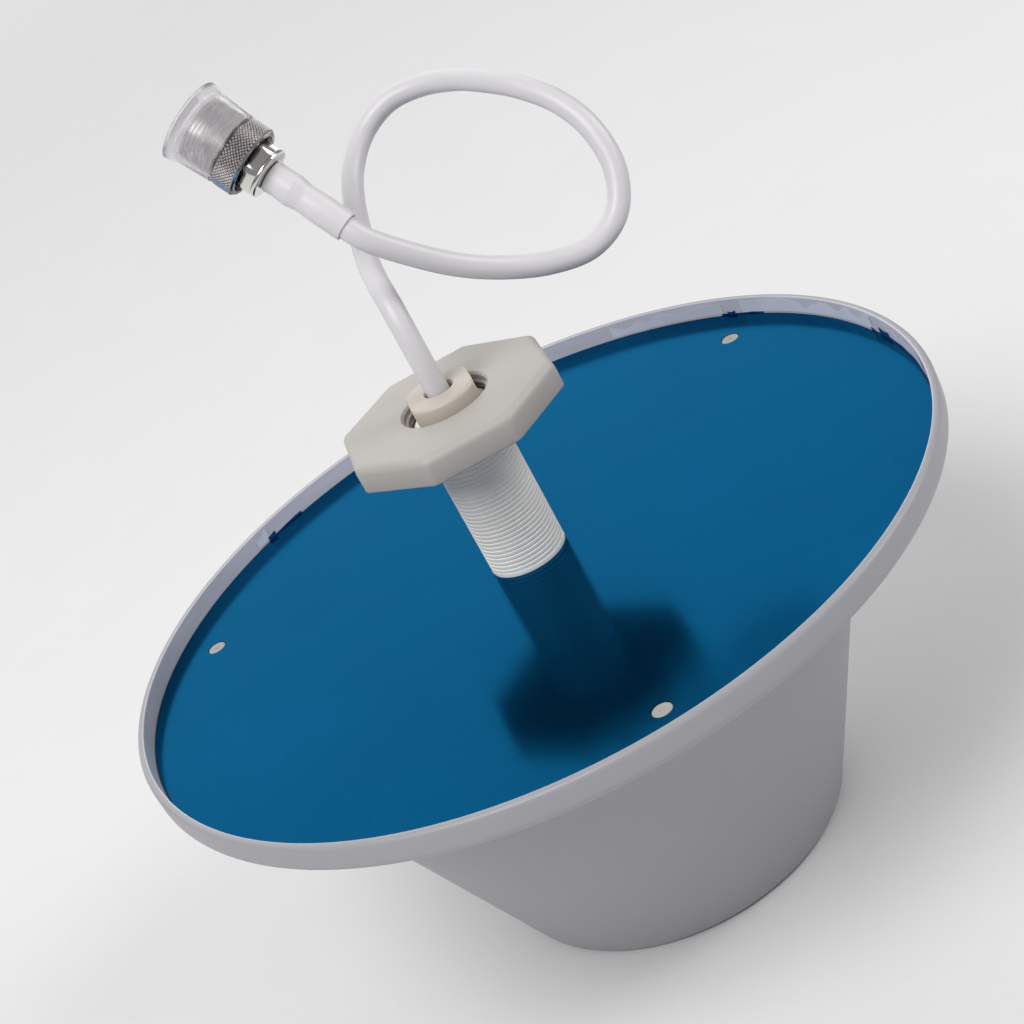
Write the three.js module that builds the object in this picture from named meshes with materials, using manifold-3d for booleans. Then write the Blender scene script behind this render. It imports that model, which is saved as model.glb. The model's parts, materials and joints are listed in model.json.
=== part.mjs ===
// Indoor dome antenna of a cellular booster kit, with its threaded stem, clamp nut and coaxial lead.
// Millimetres, +Z up. The origin is the middle of the radome's flat cap, which the antenna stands on.
// Up is the way the stem points, towards the ceiling that the antenna hangs from.

import * as THREE from 'three';
import * as BufferGeometryUtils from 'three/addons/utils/BufferGeometryUtils.js';
import Module from 'manifold-3d';

const wasm = await Module();
wasm.setup();

// ---- driving dimensions -------------------------------------------------------------------------

const GAP = 0.1; // between flat faces that rest on each other
const CLEARANCE = 0.3; // between a bore and what passes through it
const ROUND_SEGMENTS = 40; // the large turned parts
const SMALL_SEGMENTS = 20; // the small turned parts

const radomeSize = {
  capRadius: 40.24, // where the cup's side would meet the plane of the cap
  slope: 0.432, // growth of the cup's radius per millimetre of height
  wall: 2.2,
  lipRadius: 93,
  lipTop: 84.1,
  lipBottom: 77.6,
  lipInner: 91.0, // at the ledge
  lipInnerTop: 91.3,
  brimUnderside: 75.6,
  ledge: 78.0, // the face inside the lip that carries the ground plate
};

const plateSize = { radius: 90.5, thickness: 1.5 };
const filmSize = { radius: 90.75, thickness: 0.25, stemHole: 9.0, rivetHole: 2.35 };
const PLATE_BOTTOM = radomeSize.ledge + GAP;
const PLATE_TOP = PLATE_BOTTOM + plateSize.thickness;
const FILM_BOTTOM = PLATE_TOP + 0.05;
const FILM_TOP = FILM_BOTTOM + filmSize.thickness;

const rivetSize = { pitchRadius: 80.2, firstAngle: 35.4, head: 2.1, shank: 1.3, depth: 1.2 };

const stemSize = {
  crest: 8.7,
  root: 8.25,
  pitch: 1.0,
  collar: 8.8,
  collarHeight: 1.3,
  spigot: 7.0, // the reduced end that passes through the ground plate
  bore: 6.0,
  bottom: 70.3,
  top: 117.4,
};

const clampNutSize = { circumradius: 24.6, bottom: 113.8, top: 120.0, edgeRadius: 1.5 };
const clampNutThread = { minor: 9.05, major: 9.5, chamfer: 10.05, pitch: 1.0, turns: 4 };

const plugSize = { radius: 8.4, acrossFlats: 13.9, top: 122.7, spigotLength: 6, edge: 0.5 };

const cableSize = { radius: 2.5, hole: 3.1, sides: 8, steps: 32 };

const coneSize = { apexZ: 61.8, apexRadius: 4.5, rimZ: 16, rimRadius: 30, rimFlange: 2.5, sheet: 1.0 };
const discSize = { radius: 40, thickness: 1.2, hole: 8 };
const standoffSize = { radius: 3, pitchRadius: 36, screwHole: 1.4 };

// The plug at the lead's free end: s runs along its axis from its rear flange towards its mating face.
const plugOrigin = new THREE.Vector3(-8.83, 13.47, 174.74);
const plugAxis = new THREE.Vector3(-0.4531, 0.427, 0.7825).normalize();
const connectorSize = {
  sleeveStart: -18.6,
  flange: 5.55,
  hexCorner: 5.3,
  nutRear: 3.95,
  knurlFront: 9.1,
  nutFront: 17.3,
  knurl: 7.5,
  nose: 6.9,
  capFront: 19.9,
};

// The free lead, from the cable plug to the start of the heat-shrink sleeve.
const leadRoute = [
  [-0.25, 0.1, 123.0],
  [-0.3, 0.5, 133.5],
  [-0.3, 4.3, 140.8],
  [-0.4, 12, 145.2],
  [0.1, 22.4, 147.5],
  [1.6, 33.4, 149.8],
  [3.6, 42.9, 153.5],
  [7.1, 50.8, 157.9],
  [13.1, 55.8, 162.4],
  [20.6, 56.3, 165.5],
  [28.1, 53.3, 166],
  [35.2, 46.9, 165.1],
  [40.3, 39.4, 163.6],
  [45.4, 31.5, 161.1],
  [50.5, 24, 156.5],
  [53.6, 17.5, 150],
  [53.7, 12.1, 141.3],
  [49.6, 8.6, 134.2],
  [42.1, 6.6, 131.2],
  [33, 6, 132.6],
  [23.9, 5.5, 136.7],
  [15.8, 4.7, 142.2],
  [8.9, 3.9, 148.7],
];
const leadInsideSleeve = [-22.5, -15.5, -8.5, -1.5];

// ---- materials ----------------------------------------------------------------------------------

const finishes = {
  whiteAbs: { color: 0xd9d8dc, roughness: 0.5, metalness: 0 },
  blueFilm: { color: 0x0b5f96, roughness: 0.3, metalness: 0 },
  aluminium: { color: 0xc4c7ca, roughness: 0.35, metalness: 1 },
  greyAbs: { color: 0xcfd0cc, roughness: 0.55, metalness: 0 },
  beigePlastic: { color: 0xc6c2ba, roughness: 0.5, metalness: 0 },
  creamPlastic: { color: 0xe2dacb, roughness: 0.5, metalness: 0 },
  whitePvc: { color: 0xe2e0e3, roughness: 0.4, metalness: 0 },
  nickel: { color: 0xc9c8c6, roughness: 0.22, metalness: 1 },
  brass: { color: 0xd2b064, roughness: 0.3, metalness: 1 },
  tinnedCopper: { color: 0xb9b4ab, roughness: 0.4, metalness: 1 },
  ptfe: { color: 0xf2f2ee, roughness: 0.45, metalness: 0 },
  nylon: { color: 0xe9e6dc, roughness: 0.5, metalness: 0 },
  steel: { color: 0x9fa1a4, roughness: 0.35, metalness: 1 },
  rubber: { color: 0x9a3b2c, roughness: 0.8, metalness: 0 },
  clearPolythene: { color: 0xe6e4e8, roughness: 0.3, metalness: 0 },
};

// ---- helpers ------------------------------------------------------------------------------------

const object = new THREE.Group();
const connector = new THREE.Group();
connector.position.copy(plugOrigin);
connector.quaternion.setFromUnitVectors(new THREE.Vector3(0, 0, 1), plugAxis);
object.add(connector);

function addPart(name, geometry, finish, parent = object) {
  const mesh = new THREE.Mesh(geometry, new THREE.MeshStandardMaterial(finish));
  mesh.name = name;
  parent.add(mesh);
  return mesh;
}

// Replaces each corner [r, z, radius] of an outline by an arc; corners without a radius stay sharp.
function roundCorners(corners, closed, steps = 3) {
  const points = [];
  const count = corners.length;
  corners.forEach(([r, z, radius = 0], index) => {
    const corner = new THREE.Vector2(r, z);
    const isEnd = !closed && (index === 0 || index === count - 1);
    if (radius === 0 || isEnd) {
      points.push(corner);
      return;
    }
    const [beforeR, beforeZ] = corners[(index + count - 1) % count];
    const [afterR, afterZ] = corners[(index + 1) % count];
    const toBefore = new THREE.Vector2(beforeR, beforeZ).sub(corner).normalize();
    const toAfter = new THREE.Vector2(afterR, afterZ).sub(corner).normalize();
    const halfAngle = Math.acos(THREE.MathUtils.clamp(toBefore.dot(toAfter), -1, 1)) / 2;
    const setback = radius / Math.tan(halfAngle);
    const bisector = toBefore.clone().add(toAfter).normalize();
    const centre = corner.clone().addScaledVector(bisector, radius / Math.sin(halfAngle));
    const start = corner.clone().addScaledVector(toBefore, setback).sub(centre);
    const end = corner.clone().addScaledVector(toAfter, setback).sub(centre);
    const sweep = Math.atan2(start.cross(end), start.dot(end));
    for (let step = 0; step <= steps; step += 1) {
      points.push(start.clone().rotateAround(new THREE.Vector2(), (sweep * step) / steps).add(centre));
    }
  });
  return points;
}

// Turns an outline [r, z, radius] about Z. The outline either starts and ends on the axis or is a ring.
function turned(corners, segments = SMALL_SEGMENTS, steps = 3) {
  const isRing = corners[0][0] > 0;
  const points = roundCorners(corners, isRing, steps);
  if (THREE.ShapeUtils.area(points) < 0) {
    points.reverse();
  }
  if (isRing) {
    points.push(points[0].clone());
  }
  const geometry = new THREE.LatheGeometry(points, segments);
  geometry.rotateX(Math.PI / 2);
  return geometry;
}

function ring(inner, outer, bottom, top, segments = SMALL_SEGMENTS) {
  return turned([[inner, bottom], [outer, bottom], [outer, top], [inner, top]], segments);
}

function regularShape(sides, circumradius, startAngle) {
  const shape = new THREE.Shape();
  for (let side = 0; side < sides; side += 1) {
    const angle = startAngle + (side * 2 * Math.PI) / sides;
    const x = circumradius * Math.cos(angle);
    const y = circumradius * Math.sin(angle);
    if (side === 0) {
      shape.moveTo(x, y);
    } else {
      shape.lineTo(x, y);
    }
  }
  shape.closePath();
  return shape;
}

function roundHole(x, y, radius) {
  const hole = new THREE.Path();
  hole.absarc(x, y, radius, 0, 2 * Math.PI, true);
  return hole;
}

function plate(shape, bottom, thickness, curveSegments = 12) {
  const geometry = new THREE.ExtrudeGeometry(shape, { depth: thickness, bevelEnabled: false, curveSegments });
  geometry.translate(0, 0, bottom);
  return geometry;
}

function solidOf(geometry) {
  const bare = geometry.clone();
  bare.deleteAttribute('normal');
  bare.deleteAttribute('uv');
  const merged = BufferGeometryUtils.mergeVertices(bare, 1e-4);
  const corners = merged.index.array;
  const kept = [];
  for (let first = 0; first < corners.length; first += 3) {
    const [a, b, c] = [corners[first], corners[first + 1], corners[first + 2]];
    if (a !== b && b !== c && c !== a) {
      kept.push(a, b, c);
    }
  }
  const vertProperties = new Float32Array(merged.attributes.position.array);
  return new wasm.Manifold(new wasm.Mesh({ numProp: 3, vertProperties, triVerts: new Uint32Array(kept) }));
}

function geometryOf(solid) {
  const mesh = solid.getMesh();
  const geometry = new THREE.BufferGeometry();
  geometry.setAttribute('position', new THREE.BufferAttribute(new Float32Array(mesh.vertProperties), 3));
  geometry.setIndex(new THREE.BufferAttribute(new Uint32Array(mesh.triVerts), 1));
  return geometry;
}

function cut(geometry, ...tools) {
  const whole = tools.reduce((solid, tool) => solid.subtract(solidOf(tool)), solidOf(geometry));
  return geometryOf(whole);
}

function joined(...geometries) {
  const [first, ...rest] = geometries;
  return geometryOf(rest.reduce((solid, geometry) => solid.add(solidOf(geometry)), solidOf(first)));
}

function kept(geometry, tool) {
  return geometryOf(solidOf(geometry).intersect(solidOf(tool)));
}

// Three places a third of a turn apart.
function thirds(firstAngleDegrees, radius) {
  return [0, 1, 2].map((index) => {
    const angle = THREE.MathUtils.degToRad(firstAngleDegrees + index * 120);
    return { index: index + 1, angle, x: radius * Math.cos(angle), y: radius * Math.sin(angle) };
  });
}

const rivetPlaces = thirds(rivetSize.firstAngle, rivetSize.pitchRadius);
const standoffPlaces = thirds(rivetSize.firstAngle + 60, standoffSize.pitchRadius);

// ---- radome: shallow brim with a thin raised lip, and a cup that narrows to its flat cap ---------------

function makeRadome() {
  const size = radomeSize;
  const sideTop = size.brimUnderside - 0.5;
  const wallAcross = size.wall * Math.hypot(1, size.slope);
  const innerRadius = (z) => size.capRadius - wallAcross + size.slope * z;
  const shell = turned([
    [0, 0],
    [size.capRadius, 0, 3],
    [size.capRadius + size.slope * sideTop, sideTop, 4],
    [size.lipRadius - 6.2, size.brimUnderside + 0.3, 3],
    [size.lipRadius - 2.5, size.lipBottom - 0.9, 1.5],
    [size.lipRadius, size.lipBottom + 0.1, 1.4],
    [size.lipRadius, size.lipTop, 0.9],
    [size.lipInnerTop, size.lipTop, 0.4],
    [size.lipInner, size.ledge],
    [innerRadius(size.ledge), size.ledge, 1],
    [innerRadius(size.wall), size.wall, 2],
    [0, size.wall],
  ], ROUND_SEGMENTS, 2);
  const pocketDepth = rivetSize.depth + 0.2;
  const pockets = rivetPlaces.map(({ x, y }) => {
    const pocket = ring(0, rivetSize.shank + CLEARANCE, size.ledge - pocketDepth, size.ledge + 1, 12);
    pocket.translate(x, y, 0);
    return pocket;
  });
  addPart('radome', cut(shell, ...pockets), finishes.whiteAbs);
}

// ---- ground plate, the film over it and the posts that hold it -------------------------------------

function makeGroundPlate() {
  const plateShape = regularShape(ROUND_SEGMENTS, plateSize.radius, 0);
  plateShape.holes.push(roundHole(0, 0, stemSize.spigot + CLEARANCE));
  const filmShape = regularShape(ROUND_SEGMENTS, filmSize.radius, 0);
  filmShape.holes.push(roundHole(0, 0, filmSize.stemHole));
  rivetPlaces.forEach(({ x, y }) => {
    plateShape.holes.push(roundHole(x, y, filmSize.rivetHole));
    filmShape.holes.push(roundHole(x, y, filmSize.rivetHole));
  });
  addPart('ground_plate', plate(plateShape, PLATE_BOTTOM, plateSize.thickness, 8), finishes.aluminium);
  addPart('protective_film', plate(filmShape, FILM_BOTTOM, filmSize.thickness, 8), finishes.blueFilm);
}

function makePlateRivets() {
  const seat = radomeSize.ledge + GAP;
  rivetPlaces.forEach(({ index, x, y }) => {
    const rivet = turned([
      [0, radomeSize.ledge - rivetSize.depth],
      [rivetSize.shank, radomeSize.ledge - rivetSize.depth],
      [rivetSize.shank, seat],
      [rivetSize.head, seat],
      [rivetSize.head, FILM_TOP, 0.3],
      [0, FILM_TOP],
    ], 16, 2);
    rivet.translate(x, y, 0);
    addPart(`plate_rivet_${index}`, rivet, finishes.greyAbs);
  });
}

// ---- threaded stem, its lock nut inside the radome, and the clamp nut ------------------------------

function makeStem() {
  const size = stemSize;
  const collarBottom = PLATE_TOP + 0.05;
  const threadStart = collarBottom + size.collarHeight;
  const outline = [
    [size.bore, size.bottom],
    [size.spigot, size.bottom],
    [size.spigot, collarBottom],
    [size.collar, collarBottom],
    [size.collar, threadStart],
    [size.root, threadStart],
  ];
  const turns = Math.floor((size.top - threadStart - size.pitch) / size.pitch);
  for (let turn = 0; turn < turns; turn += 1) {
    const z = threadStart + 0.5 + turn * size.pitch;
    outline.push([size.crest, z + size.pitch / 3]);
    outline.push([size.root, z + size.pitch]);
  }
  outline.push([size.root, size.top]);
  outline.push([size.bore, size.top]);
  addPart('threaded_stem', turned(outline, 16), finishes.greyAbs);

  const lockNut = regularShape(6, 12.7, 0);
  lockNut.holes.push(roundHole(0, 0, size.spigot + CLEARANCE));
  const lockNutHeight = 5;
  const lockNutBottom = PLATE_BOTTOM - GAP - lockNutHeight;
  addPart('stem_locknut', plate(lockNut, lockNutBottom, lockNutHeight, 10), finishes.greyAbs);
}

// An octagonal nut with rounded top edges, cut from a turned blank by its thread.
function makeClampNut() {
  const size = clampNutSize;
  const thread = clampNutThread;
  const shape = regularShape(8, size.circumradius - size.edgeRadius, Math.PI / 8);
  const height = size.top - size.bottom;
  const crown = new THREE.ExtrudeGeometry(shape, {
    depth: height - size.edgeRadius,
    bevelEnabled: true,
    bevelThickness: size.edgeRadius,
    bevelSize: size.edgeRadius,
    bevelSegments: 3,
  });
  crown.translate(0, 0, size.bottom);
  const belowNut = 3 * size.edgeRadius;
  const keepBox = new THREE.BoxGeometry(60, 60, height + belowNut);
  keepBox.translate(0, 0, size.bottom + (height + belowNut) / 2);
  const blank = kept(crown, keepBox);

  const bore = [[0, size.bottom - 1], [thread.minor, size.bottom - 1]];
  for (let turn = 0; turn < thread.turns; turn += 1) {
    const z = size.bottom + 0.8 + turn * thread.pitch;
    bore.push([thread.minor, z]);
    bore.push([thread.major, z + thread.pitch / 2]);
  }
  const chamferZ = size.top - (thread.chamfer - thread.minor);
  bore.push([thread.minor, chamferZ]);
  bore.push([thread.chamfer + 0.5, size.top + 0.5]);
  bore.push([0, size.top + 0.5]);
  addPart('clamp_nut', cut(blank, turned(bore)), finishes.beigePlastic);
}

// ---- cable plug: a double-D head over the stem's end, with a spigot in its bore --------------------

function makeCablePlug() {
  const size = plugSize;
  const seat = stemSize.top + GAP;
  const body = turned([
    [cableSize.hole, seat - size.spigotLength],
    [stemSize.bore - CLEARANCE, seat - size.spigotLength],
    [stemSize.bore - CLEARANCE, seat],
    [size.radius, seat],
    [size.radius, size.top, size.edge],
    [cableSize.hole, size.top, size.edge],
  ]);
  const flatTools = [-1, 1].map((side) => {
    const width = 6;
    const tool = new THREE.BoxGeometry(width, 2.5 * size.radius, size.top - seat + 2);
    tool.translate(side * (size.acrossFlats + width) / 2, 0, (size.top + seat) / 2 + 1);
    return tool;
  });
  addPart('cable_plug', cut(body, ...flatTools), finishes.creamPlastic);
}

// ---- feed and radiator inside the cup ---------------------------------------------------------------

function makeFeed() {
  const jacketEnd = stemSize.bottom + 1;
  addPart('feed_cable', ring(0, cableSize.radius, jacketEnd, plugSize.top - CLEARANCE, 12), finishes.whitePvc);
  const lugTop = stemSize.bottom - GAP;
  const lugBottom = lugTop - 1.2;
  addPart('braid_lug', ring(1.9, 8, lugBottom, lugTop), finishes.tinnedCopper);
  const bushTop = lugBottom - GAP;
  const bush = turned([
    [1.1, coneSize.apexZ + GAP],
    [5, coneSize.apexZ + GAP, 0.5],
    [5, bushTop, 0.5],
    [1.1, bushTop],
  ], SMALL_SEGMENTS, 2);
  addPart('feed_insulator', bush, finishes.ptfe);
  const pin = turned([
    [0, coneSize.apexZ - 3],
    [0.8, coneSize.apexZ - 3, 0.3],
    [0.8, jacketEnd - CLEARANCE],
    [0, jacketEnd - CLEARANCE],
  ], 12, 2);
  addPart('feed_pin', pin, finishes.brass);
}

function makeRadiator() {
  const cone = coneSize;
  const rimTop = cone.rimZ + cone.sheet;
  const radiator = turned([
    [1.1, cone.apexZ - cone.sheet],
    [cone.apexRadius - 0.6, cone.apexZ - cone.sheet],
    [cone.rimRadius - cone.sheet * 1.2, rimTop],
    [cone.rimRadius - cone.sheet * 1.2, cone.rimZ],
    [cone.rimRadius + cone.rimFlange, cone.rimZ],
    [cone.rimRadius + cone.rimFlange, rimTop],
    [cone.rimRadius, rimTop],
    [cone.apexRadius, cone.apexZ],
    [1.1, cone.apexZ],
  ], 32);
  addPart('radiator_cone', radiator, finishes.tinnedCopper);

  const discTop = cone.rimZ - GAP;
  const discShape = regularShape(36, discSize.radius, 0);
  discShape.holes.push(roundHole(0, 0, discSize.hole));
  standoffPlaces.forEach(({ x, y }) => discShape.holes.push(roundHole(x, y, standoffSize.screwHole)));
  const disc = plate(discShape, discTop - discSize.thickness, discSize.thickness, 6);
  addPart('loading_disc', disc, finishes.tinnedCopper);

  const standoffBottom = discTop + GAP;
  const standoffTop = PLATE_BOTTOM - GAP;
  const screwDepth = 6;
  standoffPlaces.forEach(({ index, x, y }) => {
    const standoff = turned([
      [0, standoffTop],
      [standoffSize.radius, standoffTop],
      [standoffSize.radius, standoffBottom],
      [standoffSize.screwHole, standoffBottom],
      [standoffSize.screwHole, standoffBottom + screwDepth + 1],
      [0, standoffBottom + screwDepth + 1],
    ], 16);
    standoff.translate(x, y, 0);
    addPart(`standoff_${index}`, standoff, finishes.nylon);

    const headTop = discTop - discSize.thickness - GAP;
    const screw = turned([
      [0, headTop - 1.6],
      [2.6, headTop - 1.6, 0.8],
      [2.6, headTop],
      [1.1, headTop],
      [1.1, standoffBottom + screwDepth],
      [0, standoffBottom + screwDepth],
    ], 12, 2);
    screw.translate(x, y, 0);
    addPart(`standoff_screw_${index}`, screw, finishes.steel);
  });
}

// Bent strips that tie the loading disc to the ground plate.
function makeShortingStrips() {
  const [width, sheet, foot] = [7, 0.8, 5];
  const bottom = coneSize.rimZ;
  const top = PLATE_BOTTOM - GAP;
  const side = new THREE.Shape();
  side.moveTo(0, bottom);
  side.lineTo(-foot, bottom);
  side.lineTo(-foot, bottom + sheet);
  side.lineTo(-sheet, bottom + sheet);
  side.lineTo(-sheet, top);
  side.lineTo(foot, top);
  side.lineTo(foot, top - sheet);
  side.lineTo(0, top - sheet);
  side.closePath();
  rivetPlaces.forEach(({ index, angle }) => {
    const strip = new THREE.ExtrudeGeometry(side, { depth: width, bevelEnabled: false });
    strip.translate(discSize.radius - 0.5, 0, -width / 2);
    strip.rotateX(Math.PI / 2);
    strip.rotateZ(angle);
    addPart(`shorting_strip_${index}`, strip, finishes.tinnedCopper);
  });
}

// ---- free lead --------------------------------------------------------------------------------------

function makeLead() {
  const alongPlug = (s) => plugAxis.clone().multiplyScalar(s).add(plugOrigin);
  const points = leadRoute.map(([x, y, z]) => new THREE.Vector3(x, y, z));
  points.push(...leadInsideSleeve.map(alongPlug));
  const route = new THREE.CatmullRomCurve3(points, false, 'centripetal');
  const section = regularShape(cableSize.sides, cableSize.radius, 0);
  const lead = new THREE.ExtrudeGeometry(section, { steps: cableSize.steps, extrudePath: route });
  addPart('coax_cable', lead, finishes.whitePvc);
}

// ---- connector on the lead's end --------------------------------------------------------------------

function makeConnector() {
  const size = connectorSize;
  const ferruleEnd = -5.8;
  const sleeve = turned([
    [2.75, size.sleeveStart],
    [3.1, size.sleeveStart],
    [3.12, -7.5, 2],
    [3.35, ferruleEnd, 2],
    [3.35, -GAP, 0.3],
    [3.0, -GAP],
    [3.0, ferruleEnd + 0.2],
    [2.78, ferruleEnd - 1],
  ], 16, 2);
  addPart('heat_shrink_sleeve', sleeve, finishes.whitePvc, connector);
  addPart('crimp_ferrule', ring(2.65, 2.85, ferruleEnd + 0.5, -GAP, 16), finishes.nickel, connector);

  const barrelFront = 12.5;
  const barrel = turned([
    [1.7, 0],
    [size.flange, 0, 0.3],
    [size.flange, 0.9, 0.3],
    [4.8, 0.9],
    [4.8, 5.6],
    [4.5, 5.6],
    [4.5, 6.6],
    [4.8, 6.6],
    [4.8, 8.2],
    [3.4, 8.2],
    [3.4, barrelFront],
    [2.9, barrelFront],
    [2.9, 3],
    [1.7, 3],
  ], SMALL_SEGMENTS, 2);
  const hexShape = regularShape(6, size.hexCorner, 0.3);
  hexShape.holes.push(roundHole(0, 0, 4));
  const hex = plate(hexShape, 0.5, size.nutRear - CLEARANCE - 0.5, 8);
  addPart('connector_body', joined(barrel, hex), finishes.nickel, connector);
  addPart('connector_insulator', ring(0.95, 2.75, 3.2, 11.5, 16), finishes.ptfe, connector);
  const pin = turned([
    [0, 2],
    [0.75, 2],
    [0.75, 11],
    [0.45, 13.5, 0.3],
    [0, 14],
  ], 12, 2);
  addPart('centre_pin', pin, finishes.brass, connector);

  const nutBore = 5.05;
  const threadBore = 5.6;
  const nut = turned([
    [nutBore, size.nutRear],
    [size.knurl - 0.7, size.nutRear],
    [size.knurl, size.nutRear + 0.7],
    [size.knurl, size.knurlFront - 0.3],
    [size.knurl - 0.3, size.knurlFront],
    [size.nose, size.knurlFront],
    [size.nose, size.nutFront, 0.4],
    [threadBore + 0.5, size.nutFront],
    [threadBore, size.nutFront - 0.6],
    [threadBore, 8.4],
    [nutBore, 8.4],
    [nutBore, 6.7],
    [5.5, 6.7],
    [5.5, 5.5],
    [nutBore, 5.5],
  ], SMALL_SEGMENTS, 2);
  addPart('coupling_nut', nut, finishes.nickel, connector);
  addPart('snap_ring', makeSnapRing(), finishes.steel, connector);
  addPart('sealing_gasket', ring(3.6, 5.2, 8.6, 9.8), finishes.rubber, connector);
  addPart('dust_cap', makeDustCap(), finishes.clearPolythene, connector);
}

function makeSnapRing() {
  const [inner, outer, bottom, top] = [4.65, 5.3, 5.75, 6.45];
  const gapWidth = 1.2;
  const gapTool = new THREE.BoxGeometry(3, gapWidth, 3);
  gapTool.translate(outer, 0, (bottom + top) / 2);
  return cut(ring(inner, outer, bottom, top), gapTool);
}

function makeDustCap() {
  const size = connectorSize;
  const rear = size.knurlFront + 0.2;
  return turned([
    [0, size.capFront],
    [8.9, size.capFront, 0.4],
    [8.5, size.capFront - 1.6, 0.6],
    [8.15, size.capFront - 2.6],
    [7.75, rear, 0.3],
    [7.2, rear],
    [7.35, size.capFront - 1.2],
    [0, size.capFront - 0.9],
  ], SMALL_SEGMENTS, 2);
}

makeRadome();
makeGroundPlate();
makePlateRivets();
makeStem();
makeClampNut();
makeCablePlug();
makeFeed();
makeRadiator();
makeShortingStrips();
makeLead();
makeConnector();

export default object;
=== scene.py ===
"""Looks of an indoor dome antenna with its threaded stem, clamp nut and capped coaxial lead.

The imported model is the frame. Every piece is modelled here at the frame's sizes, in metres, and
dressed in a procedural finish. Outlines are written in millimetres.
"""

import json
import logging
import math
import random
from dataclasses import dataclass, field
from enum import Enum
from typing import Any, Callable, Iterable, Sequence

import bmesh
import bpy
from mathutils import Matrix, Vector

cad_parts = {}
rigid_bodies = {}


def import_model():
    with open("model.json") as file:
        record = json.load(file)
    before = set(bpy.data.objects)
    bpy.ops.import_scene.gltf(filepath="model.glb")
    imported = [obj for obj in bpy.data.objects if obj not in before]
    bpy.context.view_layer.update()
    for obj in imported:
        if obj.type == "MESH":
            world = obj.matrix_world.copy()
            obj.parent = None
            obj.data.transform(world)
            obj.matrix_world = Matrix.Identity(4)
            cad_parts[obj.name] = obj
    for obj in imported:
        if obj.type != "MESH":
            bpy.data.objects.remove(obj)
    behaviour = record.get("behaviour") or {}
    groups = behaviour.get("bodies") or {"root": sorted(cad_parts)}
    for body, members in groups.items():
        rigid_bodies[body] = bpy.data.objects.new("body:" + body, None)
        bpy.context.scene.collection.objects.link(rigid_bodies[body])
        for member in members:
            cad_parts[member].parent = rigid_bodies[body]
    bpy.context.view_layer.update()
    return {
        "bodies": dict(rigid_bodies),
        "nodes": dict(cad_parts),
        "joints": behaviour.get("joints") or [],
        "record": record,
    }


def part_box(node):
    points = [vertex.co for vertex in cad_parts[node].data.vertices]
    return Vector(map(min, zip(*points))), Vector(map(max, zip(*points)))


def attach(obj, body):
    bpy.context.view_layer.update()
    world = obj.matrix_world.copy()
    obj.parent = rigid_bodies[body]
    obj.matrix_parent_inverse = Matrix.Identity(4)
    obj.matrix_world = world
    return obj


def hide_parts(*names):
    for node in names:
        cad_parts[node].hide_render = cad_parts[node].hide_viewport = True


LOG = logging.getLogger("dome_antenna")
MM = 0.001
MERGE_GAP = 0.002 * MM
NEAR = 0.02 * MM
CUTTER_MARGIN = 1.0

Corner = Sequence[float]
Colour = tuple[float, float, float]
Piece = bpy.types.Object
Test = Callable[[Any], bool]

WHITE: Colour = (1, 1, 1)
BLACK: Colour = (0, 0, 0)

# The range that most of a noise lies in.
NOISE_RANGE = (0.3, 0.7)

# The numbers of a colour Mix node's sockets, because several of them share a name.
MIX_SHARE, MIX_FIRST, MIX_SECOND, MIX_RESULT = 0, 6, 7, 2


class Body(Enum):
    """The rigid bodies that pieces ride on."""

    ROOT = "root"
    CLAMP_NUT = "clamp_nut"
    COUPLING_NUT = "coupling_nut"
    DUST_CAP = "dust_cap"


class Slot(Enum):
    """The record's material slots."""

    WHITE_ABS = "white_abs"
    BLUE_FILM = "blue_film"
    ALUMINIUM = "aluminium"
    GREY_PLASTIC = "grey_plastic"
    BEIGE_PLASTIC = "beige_plastic"
    CREAM_PLASTIC = "cream_plastic"
    WHITE_PVC = "white_pvc"
    NICKEL = "nickel"
    BRASS = "brass"
    TINNED_COPPER = "tinned_copper"
    PTFE = "ptfe"
    NYLON = "nylon"
    STEEL = "steel"
    RUBBER = "rubber"
    CLEAR_POLYTHENE = "clear_polythene"


class Roundness(Enum):
    """How many flats a turned piece has round its axis."""

    LARGE = 224
    MEDIUM = 128
    FINE = 96
    SLEEVE = 72
    SMALL = 64


class MeshPart(Enum):
    """What can be selected by a test: the name of the mode, and of the mesh's own list."""

    EDGE = "edges"
    FACE = "faces"


@dataclass(frozen=True)
class NodeBox:
    """The box of one of the frame's nodes. Its corners are in metres, its measures in millimetres.

    Attributes:
        low: The lowest corner.
        high: The highest corner.
    """

    low: Vector
    high: Vector

    @classmethod
    def of(cls, node: str) -> "NodeBox":
        """Return a node's box."""
        return cls(*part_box(node))

    @property
    def bottom(self) -> float:
        """Return the height of its lower face."""
        return self.low.z / MM

    @property
    def top(self) -> float:
        """Return the height of its upper face."""
        return self.high.z / MM

    @property
    def reach(self) -> float:
        """Return how far it reaches from the antenna's axis along X."""
        return self.high.x / MM

    @property
    def radius(self) -> float:
        """Return half its width along X."""
        return (self.high.x - self.low.x) / 2 / MM

    @property
    def place(self) -> Matrix:
        """Return the place of its upright axis."""
        centre = (self.low + self.high) / 2
        return Matrix.Translation((centre.x, centre.y, 0))


# ---- modelling bench ---------------------------------------------------------------------------------


def clear_selection() -> None:
    """Leave edit mode and deselect everything, the frame's nodes included."""
    if bpy.context.mode != "OBJECT":
        bpy.ops.object.mode_set(mode="OBJECT")
    bpy.ops.object.select_all(action="DESELECT")


def pick(piece: Piece) -> None:
    """Make one piece the only selected and the active one."""
    clear_selection()
    piece.select_set(True)
    bpy.context.view_layer.objects.active = piece


def edit(piece: Piece) -> None:
    """Pick a piece and enter edit mode with all of it selected."""
    pick(piece)
    bpy.ops.object.mode_set(mode="EDIT")
    bpy.ops.mesh.select_all(action="SELECT")


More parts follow.
